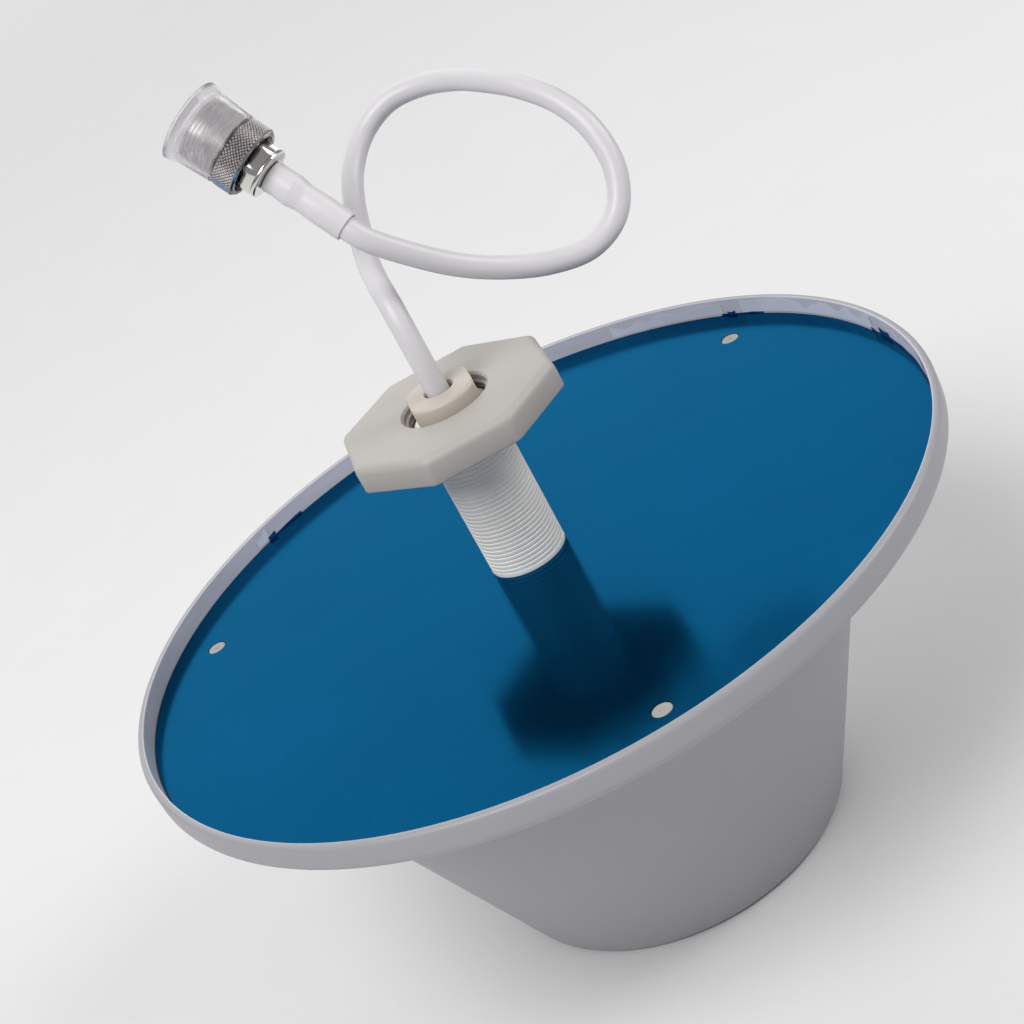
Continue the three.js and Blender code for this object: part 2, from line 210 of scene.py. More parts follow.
def select(piece: Piece, kind: MeshPart, wanted: Test) -> None:
    """Select the edges or the faces of a piece in edit mode that pass a test.

    Args:
        piece: The piece being edited.
        kind: Whether its edges or its faces are tested.
        wanted: Says of one of them whether it is selected.
    """
    bpy.ops.mesh.select_mode(type=kind.name)
    bpy.ops.mesh.select_all(action="DESELECT")
    mesh = bmesh.from_edit_mesh(piece.data)
    for part in getattr(mesh, kind.value):
        part.select_set(wanted(part))
    bmesh.update_edit_mesh(piece.data)


def is_upright(edge: Any) -> bool:
    """Say whether an edge of a prism joins its two ends."""
    return abs(edge.verts[0].co.z - edge.verts[1].co.z) > NEAR


def lies_level(edge: Any, *heights: float) -> bool:
    """Say whether an edge lies level at one of some heights, in metres."""
    return any(all(abs(vertex.co.z - height) < NEAR for vertex in edge.verts) for height in heights)


def mend(piece: Piece) -> None:
    """Merge a piece's doubled vertices and turn its faces outwards."""
    edit(piece)
    bpy.ops.mesh.remove_doubles(threshold=MERGE_GAP)
    bpy.ops.mesh.normals_make_consistent(inside=False)
    clear_selection()


def modify(piece: Piece, kind: str, **settings: Any) -> None:
    """Add a modifier to a piece and apply it.

    Args:
        piece: The piece to change.
        kind: The modifier's type.
        settings: The modifier's own settings.
    """
    pick(piece)
    bpy.ops.object.modifier_add(type=kind)
    modifier = piece.modifiers[-1]
    for name, value in settings.items():
        setattr(modifier, name, value)
    bpy.ops.object.modifier_apply(modifier=modifier.name)


def carve(piece: Piece, tool: Piece, operation: str = "DIFFERENCE") -> None:
    """Cut a piece with a tool, or join the tool to it, and throw the tool away."""
    modify(piece, "BOOLEAN", object=tool, operation=operation, solver="EXACT")
    bpy.data.objects.remove(tool, do_unlink=True)


def merge_pieces(piece: Piece, *others: Piece) -> None:
    """Join other pieces to a piece as separate shells of one mesh."""
    pick(piece)
    for other in others:
        other.select_set(True)
    bpy.ops.object.join()


def soften(piece: Piece, width: float, angle: float = 40) -> None:
    """Round the sharp edges of a piece.

    Args:
        piece: The piece to change.
        width: The bevel's width in millimetres.
        angle: The smallest angle between faces, in degrees, that counts as sharp.
    """
    modify(piece, "BEVEL", width=width * MM, segments=3, limit_method="ANGLE",
           angle_limit=math.radians(angle))


def settle_in(piece: Piece, place: Matrix) -> None:
    """Move a piece to its place and apply that to its mesh."""
    pick(piece)
    piece.matrix_world = place
    bpy.ops.object.transform_apply(location=True, rotation=True, scale=True)


def rounded(outline: Sequence[Corner], closed: bool, steps: int) -> list[Vector]:
    """Turn corners into arcs.

    Args:
        outline: Corners as (radius from the axis, height, rounding), the rounding being optional.
        closed: Whether the last corner runs on to the first.
        steps: The steps of each arc.

    Returns:
        Points in the XZ plane, in metres.
    """
    corners = [Vector((corner[0], 0, corner[1])) for corner in outline]
    points: list[Vector] = []
    for index, corner in enumerate(corners):
        rounding = outline[index][2] if len(outline[index]) > 2 else 0
        at_end = not closed and index in (0, len(corners) - 1)
        if rounding == 0 or at_end:
            points.append(corner)
            continue
        before = (corners[index - 1] - corner).normalized()
        after = (corners[(index + 1) % len(corners)] - corner).normalized()
        half = before.angle(after) / 2
        centre = corner + (before + after).normalized() * (rounding / math.sin(half))
        start = corner + before * (rounding / math.tan(half)) - centre
        turn = start.rotation_difference(corner + after * (rounding / math.tan(half)) - centre)
        axis, angle = turn.to_axis_angle()
        for step in range(steps + 1):
            points.append(centre + Matrix.Rotation(angle * step / steps, 3, axis) @ start)
    return [point * MM for point in points]


def draw_path(name: str, points: Sequence[Vector]) -> Piece:
    """Draw a chain of edges by extruding one vertex along points, and stay in edit mode.

    Args:
        name: The new piece's name.
        points: The places that the chain passes, in metres.

    Returns:
        The piece, in edit mode.
    """
    clear_selection()
    bpy.ops.mesh.primitive_plane_add(size=MM)
    piece = bpy.context.object
    piece.name = name
    piece.data.name = name
    bpy.ops.object.mode_set(mode="EDIT")
    bpy.ops.mesh.select_mode(type="VERT")
    bpy.ops.mesh.select_all(action="SELECT")
    bpy.ops.mesh.merge(type="CENTER")
    bpy.ops.transform.translate(value=points[0])
    for before, after in zip(points, points[1:]):
        bpy.ops.mesh.extrude_region_move(TRANSFORM_OT_translate={"value": after - before})
    return piece


def turned(name: str, outline: Sequence[Corner], roundness: int = Roundness.SMALL.value,
           arc_steps: int = 5) -> Piece:
    """Turn an outline about Z into a closed solid.

    Args:
        name: The new piece's name.
        outline: Corners (radius, height, rounding) in millimetres. It starts and ends on the axis,
            or else it is a ring and closes on itself.
        roundness: The number of flats round the axis.
        arc_steps: The steps of each rounded corner.

    Returns:
        The finished solid.
    """
    is_ring = outline[0][0] > 0
    points = rounded(outline, is_ring, arc_steps)
    if is_ring:
        points.append(points[0])
    piece = draw_path(name, points)
    bpy.ops.mesh.select_all(action="SELECT")
    bpy.ops.mesh.spin(steps=roundness, angle=2 * math.pi, center=(0, 0, 0), axis=(0, 0, 1))
    mend(piece)
    return piece


def ring(inner: float, outer: float, bottom: float, top: float, edge: float = 0.1) -> list[Corner]:
    """Return the outline of a plain ring with broken edges."""
    corners = [(inner, bottom), (outer, bottom), (outer, top), (inner, top)]
    return [(radius, height, edge) for radius, height in corners]


def disc(radius: float, bottom: float, top: float, edge: float = 0.1) -> list[Corner]:
    """Return the outline of a plain disc with broken edges."""
    return [(0, bottom), (radius, bottom, edge), (radius, top, edge), (0, top)]


def prism(name: str, sides: int, circumradius: float, bottom: float, top: float,
          turn: float = 0) -> Piece:
    """Stand a regular prism on its end.

    Args:
        name: The new piece's name.
        sides: The number of its sides.
        circumradius: The distance from its axis to its corners, in millimetres.
        bottom: The height of its lower face, in millimetres.
        top: The height of its upper face, in millimetres.
        turn: The angle of one corner from +X, in degrees.

    Returns:
        The prism.
    """
    clear_selection()
    bpy.ops.mesh.primitive_cylinder_add(
        vertices=sides,
        radius=circumradius * MM,
        depth=(top - bottom) * MM,
        location=(0, 0, (top + bottom) / 2 * MM),
        rotation=(0, 0, math.radians(turn - 90)),
    )
    piece = bpy.context.object
    piece.name = name
    piece.data.name = name
    bpy.ops.object.transform_apply(location=True, rotation=True, scale=True)
    return piece


@dataclass(frozen=True)
class Thread:
    """A screw thread's ridge, made as one helical solid that sinks into its core.

    Attributes:
        root: The ridge's radius where it meets the core, in millimetres.
        crest: The radius of its crest. It is under the root for a thread in a bore.
        pitch: The rise of one turn.
        start: The height where it starts.
        turns: The number of its turns.
        sink: How far its foot sinks into the core.
        half_foot: Half the width of its foot, as a share of the pitch.
        half_crest: Half the width of its crest, as a share of the pitch.
        steps: The steps of one turn.
    """

    root: float
    crest: float
    pitch: float
    start: float
    turns: int
    sink: float = 0.12
    half_foot: float = 0.47
    half_crest: float = 0.26
    steps: int = 64

    def cut(self, name: str) -> Piece:
        """Return the ridge as a piece of this name."""
        foot = self.root + (self.sink if self.root > self.crest else -self.sink)
        section = [
            (foot, -self.half_foot),
            (self.crest, -self.half_crest),
            (self.crest, self.half_crest),
            (foot, self.half_foot),
            (foot, -self.half_foot),
        ]
        points = [Vector((radius, 0, self.start + share * self.pitch)) * MM for radius, share in section]
        ridge = draw_path(name, points)
        mend(ridge)
        modify(ridge, "SCREW", axis="Z", angle=2 * math.pi, screw_offset=self.pitch * MM,
               iterations=self.turns, steps=self.steps, render_steps=self.steps,
               use_merge_vertices=False)
        edit(ridge)
        bpy.ops.mesh.fill_holes(sides=len(section))
        bpy.ops.mesh.normals_make_consistent(inside=False)
        clear_selection()
        return ridge


# ---- finishes ----------------------------------------------------------------------------------------


class NodeBench:
    """A material's nodes, with short ways to add and join them."""

    def __init__(self, name: str) -> None:
        """Start a material with a bare Principled shader."""
        self.material = bpy.data.materials.new(name)
        self.material.use_nodes = True
        self.tree = self.material.node_tree
        self.shader = self.tree.nodes["Principled BSDF"]
        self.place = self.add("ShaderNodeTexCoord").outputs["Object"]

    def add(self, kind: str, **settings: Any) -> Any:
        """Add a node.

        Args:
            kind: The node's type.
            settings: Its properties, and its input sockets' values by name.

        Returns:
            The node.
        """
        node = self.tree.nodes.new(kind)
        for name, value in settings.items():
            if name in node.inputs:
                node.inputs[name].default_value = value
            else:
                setattr(node, name.lower(), value)
        return node

    def join(self, source: Any, target: Any) -> None:
        """Link a socket to an input socket, or set the input to a number or a colour."""
        if isinstance(source, bpy.types.NodeSocket):
            self.tree.links.new(source, target)
        elif isinstance(source, tuple):
            target.default_value = (*source, 1)
        else:
            target.default_value = source

    def drive(self, name: str, source: Any) -> None:
        """Join a value to the shader's own socket of this name."""
        self.join(source, self.shader.inputs[name])

    def colour_so_far(self) -> Any:
        """Return the socket that gives the shader its base colour."""
        return self.shader.inputs["Base Color"].links[0].from_socket

    def mapped(self, place: Any, **settings: Any) -> Any:
        """Move, turn or scale a place and return its socket."""
        node = self.add("ShaderNodeMapping", **settings)
        self.join(place, node.inputs["Vector"])
        return node.outputs["Vector"]

    def distance_from_z(self, place: Any) -> Any:
        """Return the socket of a place's distance from the Z axis."""
        length = self.add("ShaderNodeVectorMath", operation="LENGTH")
        self.join(self.mapped(place, Scale=(1, 1, 0)), length.inputs[0])
        return length.outputs["Value"]

    def calculate(self, operation: str, first: Any, second: Any) -> Any:
        """Reckon with two values, each a socket or a number, and return the result's socket."""
        node = self.add("ShaderNodeMath", operation=operation)
        self.join(first, node.inputs[0])
        self.join(second, node.inputs[1])
        return node.outputs[0]

    def mix(self, share: Any, first: Any, second: Any, blend_type: str = "MIX") -> Any:
        """Lay one colour over another.

        Args:
            share: How much of the second shows, as a socket or a number.
            first: The lower colour.
            second: The upper colour.
            blend_type: How the upper colour acts on the lower.

        Returns:
            The mixed colour's socket.
        """
        node = self.add("ShaderNodeMix", data_type="RGBA", blend_type=blend_type)
        self.join(share, node.inputs[MIX_SHARE])
        self.join(first, node.inputs[MIX_FIRST])
        self.join(second, node.inputs[MIX_SECOND])
        return node.outputs[MIX_RESULT]

    def noise(self, scale: float, detail: float = 2, stretch: Colour = (1, 1, 1), roughness: float = 0.5,
              turn: Colour = (0, 0, 0)) -> Any:
        """Add a noise pattern.

        Args:
            scale: Its features per metre.
            detail: Its finer layers.
            stretch: Its scale along X, Y and Z, once it is turned.
            roughness: The strength of its finer layers.
            turn: The angles that turn the piece's own axis to Z.

        Returns:
            The noise's value socket.
        """
        stretched = self.mapped(self.mapped(self.place, Rotation=turn), Scale=stretch)
        noise = self.add("ShaderNodeTexNoise", Scale=scale, Detail=detail, Roughness=roughness)
        self.join(stretched, noise.inputs["Vector"])
        return noise.outputs["Fac"]

    def ramp(self, value: Any, stops: Sequence[tuple[float, Colour]]) -> Any:
        """Map a value to colours.

        Args:
            value: The socket that is mapped.
            stops: Places from 0 to 1, each with its colour.

        Returns:
            The colour socket.
        """
        node = self.add("ShaderNodeValToRGB")
        elements = node.color_ramp.elements
        while len(elements) < len(stops):
            elements.new(0.5)
        for element, (position, colour) in zip(elements, stops):
            element.position = position
            element.color = (*colour, 1)
        self.join(value, node.inputs["Fac"])
        return node.outputs["Color"]

    def remap(self, value: Any, source: tuple[float, float],
              target: tuple[float, float] = (0, 1)) -> Any:
        """Map one range of values to another and return the mapped socket."""
        node = self.add("ShaderNodeMapRange")
        for name, number in zip(("From Min", "From Max", "To Min", "To Max"), (*source, *target)):
            node.inputs[name].default_value = number
        self.join(value, node.inputs["Value"])
        return node.outputs["Result"]

    def spread(self, value: Any, low: float, high: float) -> Any:
        """Map a noise's usual range to the range from low to high."""
        return self.remap(value, NOISE_RANGE, (low, high))

    def emboss(self, *layers: tuple[Any, float]) -> None:
        """Stack bump layers on the shader.

        Args:
            layers: Height sockets, each with its depth in millimetres.
        """
        normal = None
        for height, depth in layers:
            bump = self.add("ShaderNodeBump", Strength=1.0, Distance=depth * MM)
            self.join(height, bump.inputs["Height"])
            if normal is not None:
                self.join(normal, bump.inputs["Normal"])
            normal = bump.outputs["Normal"]
        self.join(normal, self.shader.inputs["Normal"])

    def set(self, **values: Any) -> None:
        """Set the shader's own sockets, with spaces in their names written as underscores."""
        for name, value in values.items():
            self.shader.inputs[name.replace("_", " ")].default_value = value


def shade(colour: Colour, factor: float) -> Colour:
    """Return a colour made lighter or darker by a factor."""
    return tuple(min(1.0, channel * factor) for channel in colour)


@dataclass(frozen=True)
class Finish:
    """A surface finish. Each kind builds its own nodes.

    Attributes:
        name: The material's name.
        slot: The record's slot that it stands for.
        colour: Its linear colour.
        roughness: Its mean roughness.
    """

    name: str
    slot: Slot
    colour: Colour
    roughness: float

    def build(self, bench: NodeBench) -> None:
        """Lay out the nodes on a new material."""
        raise NotImplementedError

    def material(self) -> bpy.types.Material:
        """Return the finish's material, made on first use."""
        made = bpy.data.materials.get(self.name)
        if made is None:
            bench = NodeBench(self.name)
            self.build(bench)
            made = bench.material
        return made


@dataclass(frozen=True)
class MouldedPlastic(Finish):
    """A moulded plastic with the tool's fine grain, faint flow marks and a little handling dirt.

    Attributes:
        grain: The depth of the grain in millimetres.
        grain_scale: The grain's features per metre.
        mottle: How far the colour wanders.
        sheen: The strength of the surface gloss.
        flow_scale: The flow marks per metre.
        speck_scale: The specks of dirt per metre.
        speck_strength: How much of the dirt shows.
        speck_tone: The tone of the dirt against the plastic.
        wave_scale: The surface's waves per metre.
        wave_depth: Their depth in millimetres.
    """

    grain: float = 0.012
    grain_scale: float = 2200
    mottle: float = 0.03
    sheen: float = 0.5
    flow_scale: float = 28
    speck_scale: float = 420
    speck_strength: float = 0.12
    speck_tone: float = 0.8
    wave_scale: float = 70
    wave_depth: float = 0.02

    def build(self, bench: NodeBench) -> None:
        """Mix flow marks into the colour, and grain into the roughness and the bump."""
        colour = bench.ramp(bench.noise(self.flow_scale, detail=3, roughness=0.6), [
            (0.25, shade(self.colour, 1 - self.mottle)),
            (0.5, self.colour),
            (0.8, shade(self.colour, 1 + self.mottle)),
        ])
        specks = bench.noise(self.speck_scale, detail=1)
        dirt_and_groove_shade = bench.ramp(specks, [(0.0, BLACK), (0.66, BLACK), (0.78, WHITE)])
        share = bench.calculate("MULTIPLY", dirt_and_groove_shade, self.speck_strength)
        bench.drive("Base Color", bench.mix(share, colour, shade(self.colour, self.speck_tone)))
        grain = bench.noise(self.grain_scale, detail=2)
        bench.drive("Roughness", bench.spread(grain, self.roughness - 0.05, self.roughness + 0.06))
        waviness = bench.noise(self.wave_scale, detail=1)
        bench.emboss((waviness, self.wave_depth), (grain, self.grain))
        bench.set(Specular_IOR_Level=self.sheen)


@dataclass(frozen=True)
class HazedPlastic(MouldedPlastic):
    """A moulded plastic, pale lavender high up on the inside of a round wall: partly a film's stain,
    partly painted reflection of the blue film.

    Attributes:
        stain_and_reflection: The colour of the film's stain, with painted reflection of the blue film in
            it.
        stain_and_reflection_radius: The radius within which they lie, in metres.
        stain_and_reflection_height: The height over which they lie, in metres.
        smear_scale: Its smears per metre.
        smear_stretch: The scale of the smears along X, Y and Z.
    """

    stain_and_reflection: Colour = WHITE
    stain_and_reflection_radius: float = 0.0
    stain_and_reflection_height: float = 0.0
    smear_scale: float = 60
    smear_stretch: Colour = (1, 1, 6)

    def build(self, bench: NodeBench) -> None:
        """Lay the stain and the painted reflection over the plastic where the wall is inside its radius
        and over its height.
        """
        super().build(bench)
        apart = bench.add("ShaderNodeSeparateXYZ")
        bench.join(bench.place, apart.inputs[0])
        inside = bench.calculate("LESS_THAN", bench.distance_from_z(bench.place), self.stain_and_reflection_radius)
        above = bench.calculate("GREATER_THAN", apart.outputs["Z"], self.stain_and_reflection_height)
        # Partly the film's stain, partly painted reflection of the blue film: lighter and bluer than the
        # plastic.
        smears = bench.noise(self.smear_scale, detail=3, stretch=self.smear_stretch)
        stained_and_reflected = bench.ramp(smears, [(0.3, shade(self.stain_and_reflection, 0.9)), (0.7, self.stain_and_reflection)])
        share = bench.calculate("MULTIPLY", inside, above)
        bench.drive("Base Color", bench.mix(share, bench.colour_so_far(), stained_and_reflected))


@dataclass(frozen=True)
class FilmOnMetal(Finish):
    """A tinted film that clings to a bright plate, and so mirrors softly in its own colour.

    Attributes:
        edge_tint: The tint of its reflections at a flat angle.
        metallic: How far it mirrors as a metal does.
        cloud_scale: The clouds in its tint per metre.
        grain_scale: Its grains per metre.
        bubble_scale: The bubbles under it per metre.
    """

    edge_tint: Colour = (0.1, 0.7, 0.92)
    metallic: float = 0.94
    cloud_scale: float = 14
    grain_scale: float = 1100
    bubble_scale: float = 320

    def build(self, bench: NodeBench) -> None:
        """Vary the tint with clouds and fine grain, and the gloss with small bubbles."""
        clouds = bench.noise(self.cloud_scale, detail=4, roughness=0.6)
        tint = bench.ramp(clouds, [
            (0.3, shade(self.colour, 0.9)),
            (0.55, self.colour),
            (0.75, shade(self.colour, 1.1)),
        ])
        grain = bench.noise(self.grain_scale, detail=2)
        fine = bench.ramp(grain, [(0.3, (0.86, 0.88, 0.9)), (0.7, WHITE)])
        bench.drive("Base Color", bench.mix(1.0, tint, fine, "MULTIPLY"))
        bench.drive("Roughness", bench.spread(clouds, self.roughness - 0.03, self.roughness + 0.04))
        bubbles = bench.noise(self.bubble_scale, detail=1)
        bench.emboss((bubbles, 0.003), (grain, 0.001))
        bench.set(Metallic=self.metallic, Specular_Tint=(*self.edge_tint, 1))


@dataclass(frozen=True)
class Metal(Finish):
    """A plated or plain metal with tool marks.

    Attributes:
        marks: The stretch of the tool marks along X, Y and Z.
        mark_scale: The tool marks per metre.
        mark_depth: Their depth in millimetres.
        tarnish: How far the colour and the gloss wander.
        tarnish_scale: The patches of tarnish per metre.
        turn: The angles that turn the piece's own axis to Z.
    """

    marks: Colour = (1, 1, 12)
    mark_scale: float = 500
    mark_depth: float = 0.002
    tarnish: float = 0.08
    tarnish_scale: float = 160
    turn: Colour = (0, 0, 0)

    def build(self, bench: NodeBench) -> None:
        """Lay fine tool marks over a slightly tarnished metal."""
        colour = bench.ramp(bench.noise(self.tarnish_scale, detail=3), [
            (0.3, shade(self.colour, 1 - self.tarnish)),
            (0.6, self.colour),
        ])
        bench.drive("Base Color", colour)
        marks = bench.noise(self.mark_scale, detail=2, stretch=self.marks, turn=self.turn)
        bench.drive("Roughness", bench.spread(marks, self.roughness * 0.8, self.roughness * 1.3))
        bench.emboss((marks, self.mark_depth))
        bench.set(Metallic=1.0)


@dataclass(frozen=True)
class KnurledMetal(Metal):
    """A plated metal, streaked where it is smooth, with painted shade in its knurl's grooves that fades
    towards the points.

    Attributes:
        centre: A point on the piece's axis, in metres.
        groove: The grooves' radius, in metres.
        points: The points' radius, in metres.
        streak: The tone of the darkest streaks and patches on the smooth part.
        line_scale: The streaks per metre.
        patch_scale: The patches per metre.
        smooth_end: The share of the knurl's height under which the metal counts as smooth.
    """

    centre: Colour = (0, 0, 0)
    groove: float = 0.0
    points: float = 0.0
    streak: float = 0.2
    line_scale: float = 230
    patch_scale: float = 140
    smooth_end: float = 0.004

    def build(self, bench: NodeBench) -> None:
        """Paint shade into the knurl's grooves by darkening the metal by its distance from the piece's
        axis.
        """
        super().build(bench)
        metal = bench.colour_so_far()
        centred = bench.mapped(bench.place, Location=[-part for part in self.centre])
        distance = bench.distance_from_z(bench.mapped(centred, Rotation=self.turn))
        depth = bench.remap(distance, (self.groove, self.points))
        # Painted shade: the knurl's grooves are darkened, and the points keep the metal's colour.
        dirt_and_groove_shade = bench.ramp(depth, [
            (0.0, (0.8, 0.79, 0.78)),
            (self.smooth_end, (0.3, 0.28, 0.27)),
            (0.3, (0.62, 0.6, 0.59)),
            (0.6, WHITE),
        ])
        smooth = bench.ramp(depth, [(0.0, WHITE), (self.smooth_end, BLACK)])
        lines = bench.noise(self.line_scale, detail=2, stretch=self.marks, turn=self.turn)
        patches = bench.noise(self.patch_scale, detail=1, turn=self.turn)
        low, middle = (self.streak,) * 3, (math.sqrt(self.streak),) * 3
        layers = (
            (1.0, dirt_and_groove_shade),
            (smooth, bench.ramp(lines, [(0.4, low), (0.62, WHITE)])),
            (smooth, bench.ramp(patches, [(0.42, middle), (0.6, WHITE)])),
        )
        for share, layer in layers:
            metal = bench.mix(share, metal, layer, "MULTIPLY")
        bench.drive("Base Color", metal)


@dataclass(frozen=True)
class MilkyPolythene(Finish):
    """A thin milky polythene that shows what is under it.

    Attributes:
        clearness: The share of the light that passes through.
        bending: Its index of refraction, low because the wall is thin.
        sheen: The strength of the surface gloss.
        cloud_scale: The clouds in it per metre.
        ripple_scale: The ripples on it per metre.
        ripple_depth: Their depth in millimetres.
    """

    clearness: float = 0.78
    bending: float = 1.12
    sheen: float = 0.8
    cloud_scale: float = 260
    ripple_scale: float = 340
    ripple_depth: float = 0.02

    def build(self, bench: NodeBench) -> None:
        """Cloud the wall a little, and let light through the rest."""
        cloud = bench.noise(self.cloud_scale, detail=2)
        colour = bench.ramp(cloud, [(0.3, shade(self.colour, 0.96)), (0.7, self.colour)])
        bench.drive("Base Color", colour)
        bench.drive("Roughness", bench.spread(cloud, self.roughness - 0.04, self.roughness + 0.06))
        ripples = bench.noise(self.ripple_scale, detail=1, stretch=(1, 1, 0.3))
        bench.emboss((ripples, self.ripple_depth))
        clear = bench.spread(cloud, self.clearness - 0.05, self.clearness + 0.05)
        bench.drive("Transmission Weight", clear)
        bench.set(IOR=self.bending, Specular_IOR_Level=self.sheen)


WHITE_ABS = HazedPlastic(
    "white_abs_grained",
    Slot.WHITE_ABS,
    (0.325, 0.32, 0.345),
    0.42,
    mottle=0.02,
    # Pale lavender on the lip's inner wall: partly the film's stain, partly painted reflection of the
    # blue film.
    stain_and_reflection=(0.6, 0.595, 0.67),
    stain_and_reflection_radius=0.0916,
    stain_and_reflection_height=0.0785,
)
BLUE_FILM = FilmOnMetal("blue_film_on_metal", Slot.BLUE_FILM, (0.0005, 0.075, 0.18), 0.16)
FILM_SCRAP = MouldedPlastic("torn_blue_film", Slot.BLUE_FILM, (0.002, 0.035, 0.17), 0.4, mottle=0.25)
FILM_RESIDUE = MouldedPlastic("stretched_film", Slot.BLUE_FILM, (0.72, 0.735, 0.84), 0.35, mottle=0.14)
ALUMINIUM = Metal("mill_aluminium", Slot.ALUMINIUM, (0.75, 0.76, 0.77), 0.3, marks=(1, 14, 1))
STEM_PLASTIC = MouldedPlastic("stem_plastic", Slot.GREY_PLASTIC, (0.9, 0.87, 0.82), 0.5, mottle=0.02)
POST_PLASTIC = MouldedPlastic("post_plastic", Slot.GREY_PLASTIC, (0.36, 0.34, 0.31), 0.5, mottle=0.12)
NUT_PLASTIC = MouldedPlastic("nut_plastic", Slot.BEIGE_PLASTIC, (0.425, 0.405, 0.375), 0.46, mottle=0.03)
PLUG_PLASTIC = MouldedPlastic("plug_plastic", Slot.CREAM_PLASTIC, (0.51, 0.465, 0.405), 0.45,
                              mottle=0.03)
JACKET_PVC = MouldedPlastic("jacket_pvc", Slot.WHITE_PVC, (0.64, 0.62, 0.645), 0.36, grain=0.004,
                            mottle=0.02)
SHRINK_TUBE = MouldedPlastic("shrink_tube", Slot.WHITE_PVC, (0.68, 0.66, 0.68), 0.4, grain=0.006,
                             mottle=0.03)
NICKEL = Metal("bright_nickel", Slot.NICKEL, (0.74, 0.72, 0.7), 0.12)
BRASS = Metal("turned_brass", Slot.BRASS, (0.72, 0.52, 0.22), 0.25)
TINNED = Metal("tinned_sheet", Slot.TINNED_COPPER, (0.6, 0.58, 0.54), 0.38, tarnish=0.2)
STEEL = Metal("zinc_plated_steel", Slot.STEEL, (0.55, 0.56, 0.57), 0.3, tarnish=0.15)
PTFE = MouldedPlastic("ptfe_waxy", Slot.PTFE, (0.85, 0.85, 0.83), 0.45, grain=0.004)
NYLON = MouldedPlastic("nylon_natural", Slot.NYLON, (0.8, 0.77, 0.68), 0.45)
RUBBER = MouldedPlastic("gasket_rubber", Slot.RUBBER, (0.3, 0.05, 0.03), 0.75, sheen=0.3)
POLYTHENE = MilkyPolythene("milky_polythene", Slot.CLEAR_POLYTHENE, (0.92, 0.9, 0.92), 0.12)


class Smoothing(Enum):
    """The largest angle between faces that is shaded smooth, in degrees."""

    SOFT = 50
    USUAL = 32
    CRISP = 15


def finish_piece(piece: Piece, finish: Finish, replaced: Iterable[str] = (), body: Body = Body.ROOT,
                 smoothing: Smoothing = Smoothing.USUAL) -> Piece:
    """Dress a piece, let it ride on its body and report it.

    Args:
        piece: The finished shape.
        finish: What it is dressed in.
        replaced: The frame's nodes that it stands for.
        body: The body that it moves with.
        smoothing: How its edges are shaded.

    Returns:
        The same piece.
    """
    pick(piece)
    if piece.type == "MESH":
        bpy.ops.object.shade_smooth_by_angle(angle=math.radians(smoothing.value))
    piece.data.materials.clear()
    piece.data.materials.append(finish.material())
    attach(piece, body.value)
    names = list(replaced)
    if names:
        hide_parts(*names)
    stands_for = ", ".join(names) or "no node"
    LOG.info("made %s in %s on %s, for %s", piece.name, finish.name, body.value, stands_for)
    return piece


def dress_node(frame: dict, node: str, finish: Finish) -> None:
    """Give a node of the frame, kept as it is, its finish."""
    carried = frame["nodes"][node]
    carried.data.materials.clear()
    carried.data.materials.append(finish.material())
    LOG.info("kept %s in %s", node, finish.name)


@dataclass
class TurnedPart:
    """A turned piece: its outline, its finish and the node that it stands for.

    Attributes:
        name: The piece's name.
        node: The node that it replaces.
        outline: Corners (radius, height, rounding) in millimetres.
        finish: What it is dressed in.
        body: The body that it moves with.
        roundness: The flats round its axis.
        place: Where it is moved once it is turned.
    """

    name: str
    node: str
    outline: list[Corner]
    finish: Finish
    body: Body = Body.ROOT
    roundness: Roundness = Roundness.SMALL
    place: Matrix = field(default_factory=Matrix)

    def make(self) -> Piece:
        """Turn, place, dress and return the piece."""
        piece = turned(self.name, self.outline, self.roundness.value)
        settle_in(piece, self.place)
        return finish_piece(piece, self.finish, [self.node], self.body)


# ---- radome ------------------------------------------------------------------------------------------


@dataclass
class Radome:
    """The white cup with its shallow brim and raised lip, in millimetres.

    Attributes:
        wall: The thickness of its wall.
        slope: How far the wall leans out with each millimetre of height.
        cap_radius: The radius of the flat cap, before its edge is rounded.
        lip_height: The height of the lip's outer face.
        lip_foot: The lip's thickness at the ledge.
        lip_crest: The lip's thickness at its crest.
        ledge_depth: How far the ledge for the plate lies under the crest.
        brim_depth: How far the brim lies under the crest.
        brim_inset: How far the brim ends inside the lip's outer face.
        neck_inset: How far the neck under the lip lies inside that face.
    """

    wall: float = 2.2
    slope: float = 0.432
    cap_radius: float = 40.24
    lip_height: float = 6.5
    lip_foot: float = 2.0
    lip_crest: float = 1.7
    ledge_depth: float = 6.1
    brim_depth: float = 8.5
    brim_inset: float = 6.2
    neck_inset: float = 2.9

    def build(self) -> None:
        """Turn the shell from the cap out to the lip and back down the inside."""
        box = NodeBox.of("radome")
        lip_radius, lip_top = box.reach, box.top
        lip_bottom, ledge = lip_top - self.lip_height, lip_top - self.ledge_depth
        brim = lip_top - self.brim_depth
        inner = self.cap_radius - self.wall * math.hypot(1, self.slope)
        outline = [
            (0, 0),
            (self.cap_radius, 0, 3),
            (self.cap_radius + self.slope * (brim - 0.5), brim - 0.5, 4),
            (lip_radius - self.brim_inset, brim + 0.3, 3),
            (lip_radius - self.neck_inset, lip_bottom - 0.5, 0.9),
            (lip_radius, lip_bottom + 0.4, 2.3),
            (lip_radius, lip_top, 1.1),
            (lip_radius - self.lip_crest, lip_top, 0.4),
            (lip_radius - self.lip_foot, ledge),
            (inner + self.slope * ledge, ledge, 1),
            (inner + self.slope * self.wall, self.wall, 2),
            (0, self.wall),
        ]
        shell = turned("radome_shell", outline, Roundness.LARGE.value, arc_steps=8)
        finish_piece(shell, WHITE_ABS, ["radome"], smoothing=Smoothing.SOFT)


